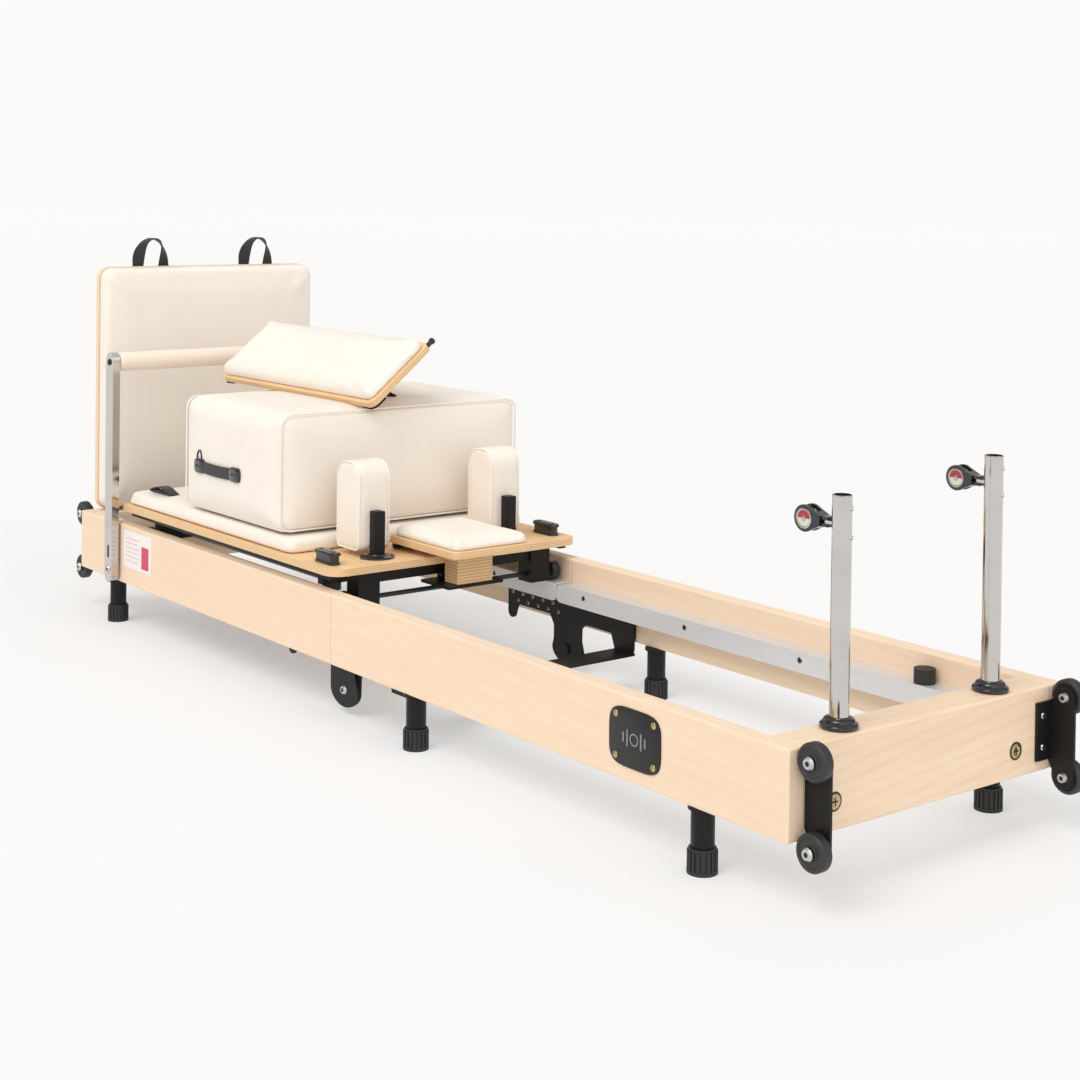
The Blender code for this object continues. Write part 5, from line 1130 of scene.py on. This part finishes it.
HANDLE_LOW, HANDLE_HIGH, HANDLE_Z = -0.628, -0.430, 0.428
handle_y = box_low[1] - 0.0006
handle_line = [(HANDLE_LOW + 0.020 + (HANDLE_HIGH - HANDLE_LOW - 0.040) * step / 20,
                handle_y - 0.0045 * math.sin(math.pi * step / 20) ** 0.5 - 0.002,
                HANDLE_Z - 0.002 * math.sin(math.pi * step / 20)) for step in range(21)]
place_piece("box_handle", strap(handle_line, 0.026, 0.0034, (0, 0, 1)), webbing, "long_box")
for index, x in enumerate((HANDLE_LOW + 0.020, HANDLE_HIGH - 0.020)):
    boot = bmesh.new()
    outline_plate(rounded_outline(0.044, 0.032, 0.011), 0, 0.0085, on_side(x, handle_y + 0.001, HANDLE_Z, -1),
                  0.0028, boot)
    place_piece(f"handle_boot_{index + 1}", boot, gloss_black, "long_box")
    screws(f"handle_screws_{index + 1}", "long_box", (x - 0.008, handle_y - 0.0074, HANDLE_Z),
           (1, 0, 0), (0, -1, 0), 2, 0.016, 0.0040, 0.0012, 0.0018, black_plastic)
tab_line = [(HANDLE_LOW + 0.016 + 0.010 * math.cos(a), handle_y - 0.0012,
             HANDLE_Z + 0.016 + 0.018 * math.sin(a)) for a in (math.pi * step / 12 for step in range(13))]
place_piece("handle_tab", strap(tab_line, 0.007, 0.0030, (0, 1, 0)), webbing, "long_box")

# ------------------------------------------------------------------------------------------------
# Standing platform: a small padded ply board lying tilted on the box, with steel corner angles under its
# edges and a folding wire prop beneath.
PLATFORM_TILT = math.radians(39)
PLATFORM_WIDTH, PLATFORM_BOARD, PLATFORM_PAD = 0.194, 0.014, 0.030
platform_low, platform_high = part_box("standing_platform")
PLATFORM_EDGE_Y = -0.102
tilted = Matrix.Translation((0, PLATFORM_EDGE_Y, platform_low[2])) @ Matrix.Rotation(PLATFORM_TILT, 4, "X")


def placed(shape, to_place):
    """The whole bmesh moved to its place."""
    bmesh.ops.transform(shape, matrix=to_place, verts=shape.verts[:])
    return shape


platform_ply = ply("platform ply", turn=(-PLATFORM_TILT, 0, 0))
board = ply_board((platform_low[0], 0, 0), (platform_high[0], PLATFORM_WIDTH, PLATFORM_BOARD), 0.018)
place_piece("platform_board", placed(board, tilted), platform_ply, "platform")
platform_shape = foam_block(
    (platform_low[0] + 0.005, 0.005, PLATFORM_BOARD + 0.0002),
    (platform_high[0] - 0.005, PLATFORM_WIDTH - 0.005, PLATFORM_BOARD + PLATFORM_PAD - 0.0035),
    0.020, 0.016, 0.002, 0.012)
from_tilted = tilted.inverted()
platform_mesh = stuffed(placed(platform_shape, tilted), "platform_cushion", 0.005, 0.0045,
                        lambda co: (from_tilted @ co).z < PLATFORM_BOARD + 0.006)
platform_cushion = place_piece("platform_cushion", platform_mesh, cream, "platform",
                               ("standing_platform",), 60)
for index, (x, way) in enumerate(((platform_high[0], 1), (platform_low[0], -1))):
    bend = [(x - way * 0.044, 0.0045, -0.0030), (x - way * 0.020, 0.0035, -0.0030)]
    bend += [(x - way * (0.018 - 0.0150 * math.sin(a)), 0.018 - 0.0150 * math.cos(a), -0.0030)
             for a in (math.pi / 2 * step / 8 for step in range(9))]
    bend += [(x - way * 0.0030, 0.036, -0.0030)]
    corner_bar = placed(sweep(bend, 0.0050, flat=0.55), tilted)
    place_piece(f"platform_corner_{index + 1}", corner_bar, black_steel, "platform")
stub = turned(((0.0055, 0), (0.0055, 0.010), (0.0075, 0.011), (0.0075, 0.016), (0.0062, 0.018), (0, 0.018)),
              (platform_high[0] - 0.012, PLATFORM_WIDTH + 0.0002, PLATFORM_BOARD / 2), (0, 1, 0), 24)
place_piece("platform_peg", placed(stub, tilted), gloss_black, "platform")

# ------------------------------------------------------------------------------------------------
# Jump board: a ply panel with two tabs that drop behind the foot board, a thick foam pad on its face and
# two webbing lifting loops nailed to its back.
jump_low, jump_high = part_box("jump_board")
jump_pad_low, jump_pad_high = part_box("jump_board_pad")
PANEL_TOP, PANEL_BOTTOM, PANEL_CORNER = 0.846, 0.2443, 0.030
panel_place = Matrix(((0, 0, 1), (1, 0, 0), (0, 1, 0))).to_4x4()
panel = bmesh.new()
panel_wide, panel_tall = jump_high[1] - jump_low[1] - 0.004, PANEL_TOP - PANEL_BOTTOM - 0.004
panel_outline = [(y, z + (PANEL_TOP + PANEL_BOTTOM) / 2)
                 for y, z in rounded_outline(panel_wide, panel_tall, PANEL_CORNER)]
outline_plate(panel_outline, jump_low[0], jump_high[0], panel_place, 0.0012, panel)
jump_ply = ply("jump ply", (0, math.pi / 2, 0), light=(0.88, 0.70, 0.50, 1), dark=(0.72, 0.52, 0.34, 1))
place_piece("jump_panel", panel, jump_ply, "jump_board", ("jump_board",))
tabs = bmesh.new()
for y in (-0.180, 0.180):
    rounded_box((jump_low[0] + 0.0003, y - 0.020, jump_low[2]),
                (jump_high[0] - 0.0003, y + 0.020, PANEL_BOTTOM + 0.03), 0.003, 2, tabs)
place_piece("jump_tabs", tabs, black_steel, "jump_board")
jump_shape = foam_block((jump_pad_low[1] - 0.003, jump_pad_low[2] + 0.001, jump_pad_low[0]),
                        (jump_pad_high[1] + 0.003, jump_pad_high[2] + 0.003, jump_pad_high[0] - 0.004),
                        0.032, 0.013, 0.0015, 0.03)
jump_mesh = stuffed(placed(jump_shape, panel_place), "jump_cushion", 0.007, 0.0050,
                    lambda co: co.x < jump_pad_low[0] + 0.008)
jump_cushion = place_piece("jump_cushion", jump_mesh, cream, "jump_board",
                           ("jump_board_pad",), 60)
LIFT_LOOP_Y, LIFT_LOOP_WIDE, WEB_WIDE = 0.150, 0.100, 0.030
stitching = worn("stitch thread", (0.06, 0.06, 0.063), (0.09, 0.09, 0.094), 0.7, 0.1, 900, 0.0001)
stitch_tree, stitch_in, stitch_out = nodes_tree(
    "stitch rows", {"Count": 8, "Pitch": 0.003, "Rows": 2, "Gap": 0.01, "Length": 0.002, "Thick": 0.0006},
    ("Thread",))
stitch_size = put(stitch_tree, "ShaderNodeCombineXYZ", {"X": stitch_in["Length"], "Y": stitch_in["Thick"],
                                                        "Z": stitch_in["Thick"]}).outputs[0]
one_stitch = put(stitch_tree, "GeometryNodeMeshCube", {"Size": stitch_size}).outputs["Mesh"]
stitch_step = put(stitch_tree, "ShaderNodeCombineXYZ", {"X": stitch_in["Pitch"]}).outputs[0]
stitch_run = put(stitch_tree, "GeometryNodeMeshLine",
                 {"Count": stitch_in["Count"], "Offset": stitch_step}).outputs[0]
one_row = put(stitch_tree, "GeometryNodeInstanceOnPoints",
              {"Points": stitch_run, "Instance": one_stitch}).outputs[0]
row_gap = put(stitch_tree, "ShaderNodeCombineXYZ", {"Y": stitch_in["Gap"]}).outputs[0]
row_starts = put(stitch_tree, "GeometryNodeMeshLine",
                 {"Count": stitch_in["Rows"], "Offset": row_gap}).outputs[0]
all_rows = put(stitch_tree, "GeometryNodeInstanceOnPoints",
               {"Points": row_starts, "Instance": one_row}).outputs[0]
stitch_tree.links.new(realized(stitch_tree, all_rows, stitch_in["Thread"]), stitch_out[0])
for side, out in (("near", -1), ("far", 1)):
    web_x = jump_low[0] - 0.0022
    top, foot = jump_high[2] - 0.002, PANEL_TOP - 0.055
    middle, half = out * LIFT_LOOP_Y, (LIFT_LOOP_WIDE - WEB_WIDE) / 2
    line = [(web_x, middle - half, foot), (web_x, middle - half, PANEL_TOP - 0.004)]
    twist = [0.0, 0.0]
    for step in range(1, 24):
        a = math.pi * step / 24
        line.append((web_x + 0.010 * math.sin(a), middle - half * math.cos(a),
                     PANEL_TOP + (top - PANEL_TOP) * math.sin(a) ** 0.7))
        twist.append(math.sin(a) ** 0.8 * math.pi / 2)
    line += [(web_x, middle + half, PANEL_TOP - 0.004), (web_x, middle + half, foot)]
    twist += [0.0, 0.0]
    lies = [(math.sin(turn), math.cos(turn) * (1 if index < len(twist) / 2 else -1), 0)
            for index, turn in enumerate(twist)]
    loop = strap(line, WEB_WIDE, 0.0034, lies)
    place_piece(f"lifting_loop_{side}", loop, webbing, "jump_board")
    for index, y in enumerate((middle - half, middle + half)):
        sewn_at = Matrix.Translation((web_x - 0.0017, y - 0.011, foot + 0.005))
        sewn_at = sewn_at @ Matrix(((0, 0, -1), (0, 1, 0), (1, 0, 0))).to_4x4()
        seam = from_nodes(stitch_tree, sewn_at, count=12, pitch=0.0032, rows=2, gap=0.022, length=0.0022,
                          thick=0.0007, thread=stitching)
        place_piece(f"loop_stitches_{side}_{index + 1}", seam, None, "jump_board")

# ------------------------------------------------------------------------------------------------
# Footbar: a bent chromed bow with flattened uprights outside the rails and a foam grip in leatherette.
# The grip's cover is a warmer cream than the pads'. A bolt at each end of each upright shows.
bow_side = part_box("footbar_bow")[1][1]
grip_low, grip_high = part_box("footbar_grip")
grip_x, grip_z = (grip_low[0] + grip_high[0]) / 2, (grip_low[2] + grip_high[2]) / 2
GRIP_RADIUS = (grip_high[2] - grip_low[2]) / 2
reach = grip_high[1] - 0.002
grip_profile = [(0.0127, -reach), (GRIP_RADIUS - 0.0060, -reach), (GRIP_RADIUS - 0.0022, -reach + 0.0015),
                (GRIP_RADIUS - 0.0006, -reach + 0.006)]
grip_run = 2 * reach - 0.020
grip_profile += [(GRIP_RADIUS - 0.0004 + 0.0005 * math.sin(9.0 * step / 24) ** 2,
                  -reach + 0.010 + grip_run * step / 24) for step in range(25)]
grip_profile += [(GRIP_RADIUS - 0.0006, reach - 0.006), (GRIP_RADIUS - 0.0022, reach - 0.0015),
                 (GRIP_RADIUS - 0.0060, reach), (0.0127, reach)]
peach = leatherette("peach leatherette", (0.865, 0.740, 0.620, 1))
grip = place_piece("grip_sleeve", turned(grip_profile, (grip_x, 0, grip_z), (0, 1, 0), 40, ring=True), peach,
                   "footbar", ("footbar_grip",), 60)
for side, out in (("near", -1), ("far", 1)):
    wall = out * bow_side
    screws(f"footbar_top_bolt_{side}", "footbar", (grip_x, wall - out * 0.0004, grip_z), (out, 0, 0),
           (0, out, 0), 1, 0.01, 0.0085, 0.0030, 0.0036, black_steel)
    screws(f"footbar_foot_bolt_{side}", "footbar", (grip_x, wall - out * 0.0004, 0.135), (out, 0, 0),
           (0, out, 0), 1, 0.01, 0.0100, 0.0034, 0.0044, zinc)
    # Painted shade: the slot through the upright is a thin near-black plate on its side.
    slot_hole = outline_plate(rounded_outline(0.007, 0.030, 0.0034), 0.0001, 0.0005,
                              on_side(grip_x, wall, 0.178, out), 0)
    place_piece(f"footbar_slot_{side}", slot_hole, recess_shade_paint, "footbar")
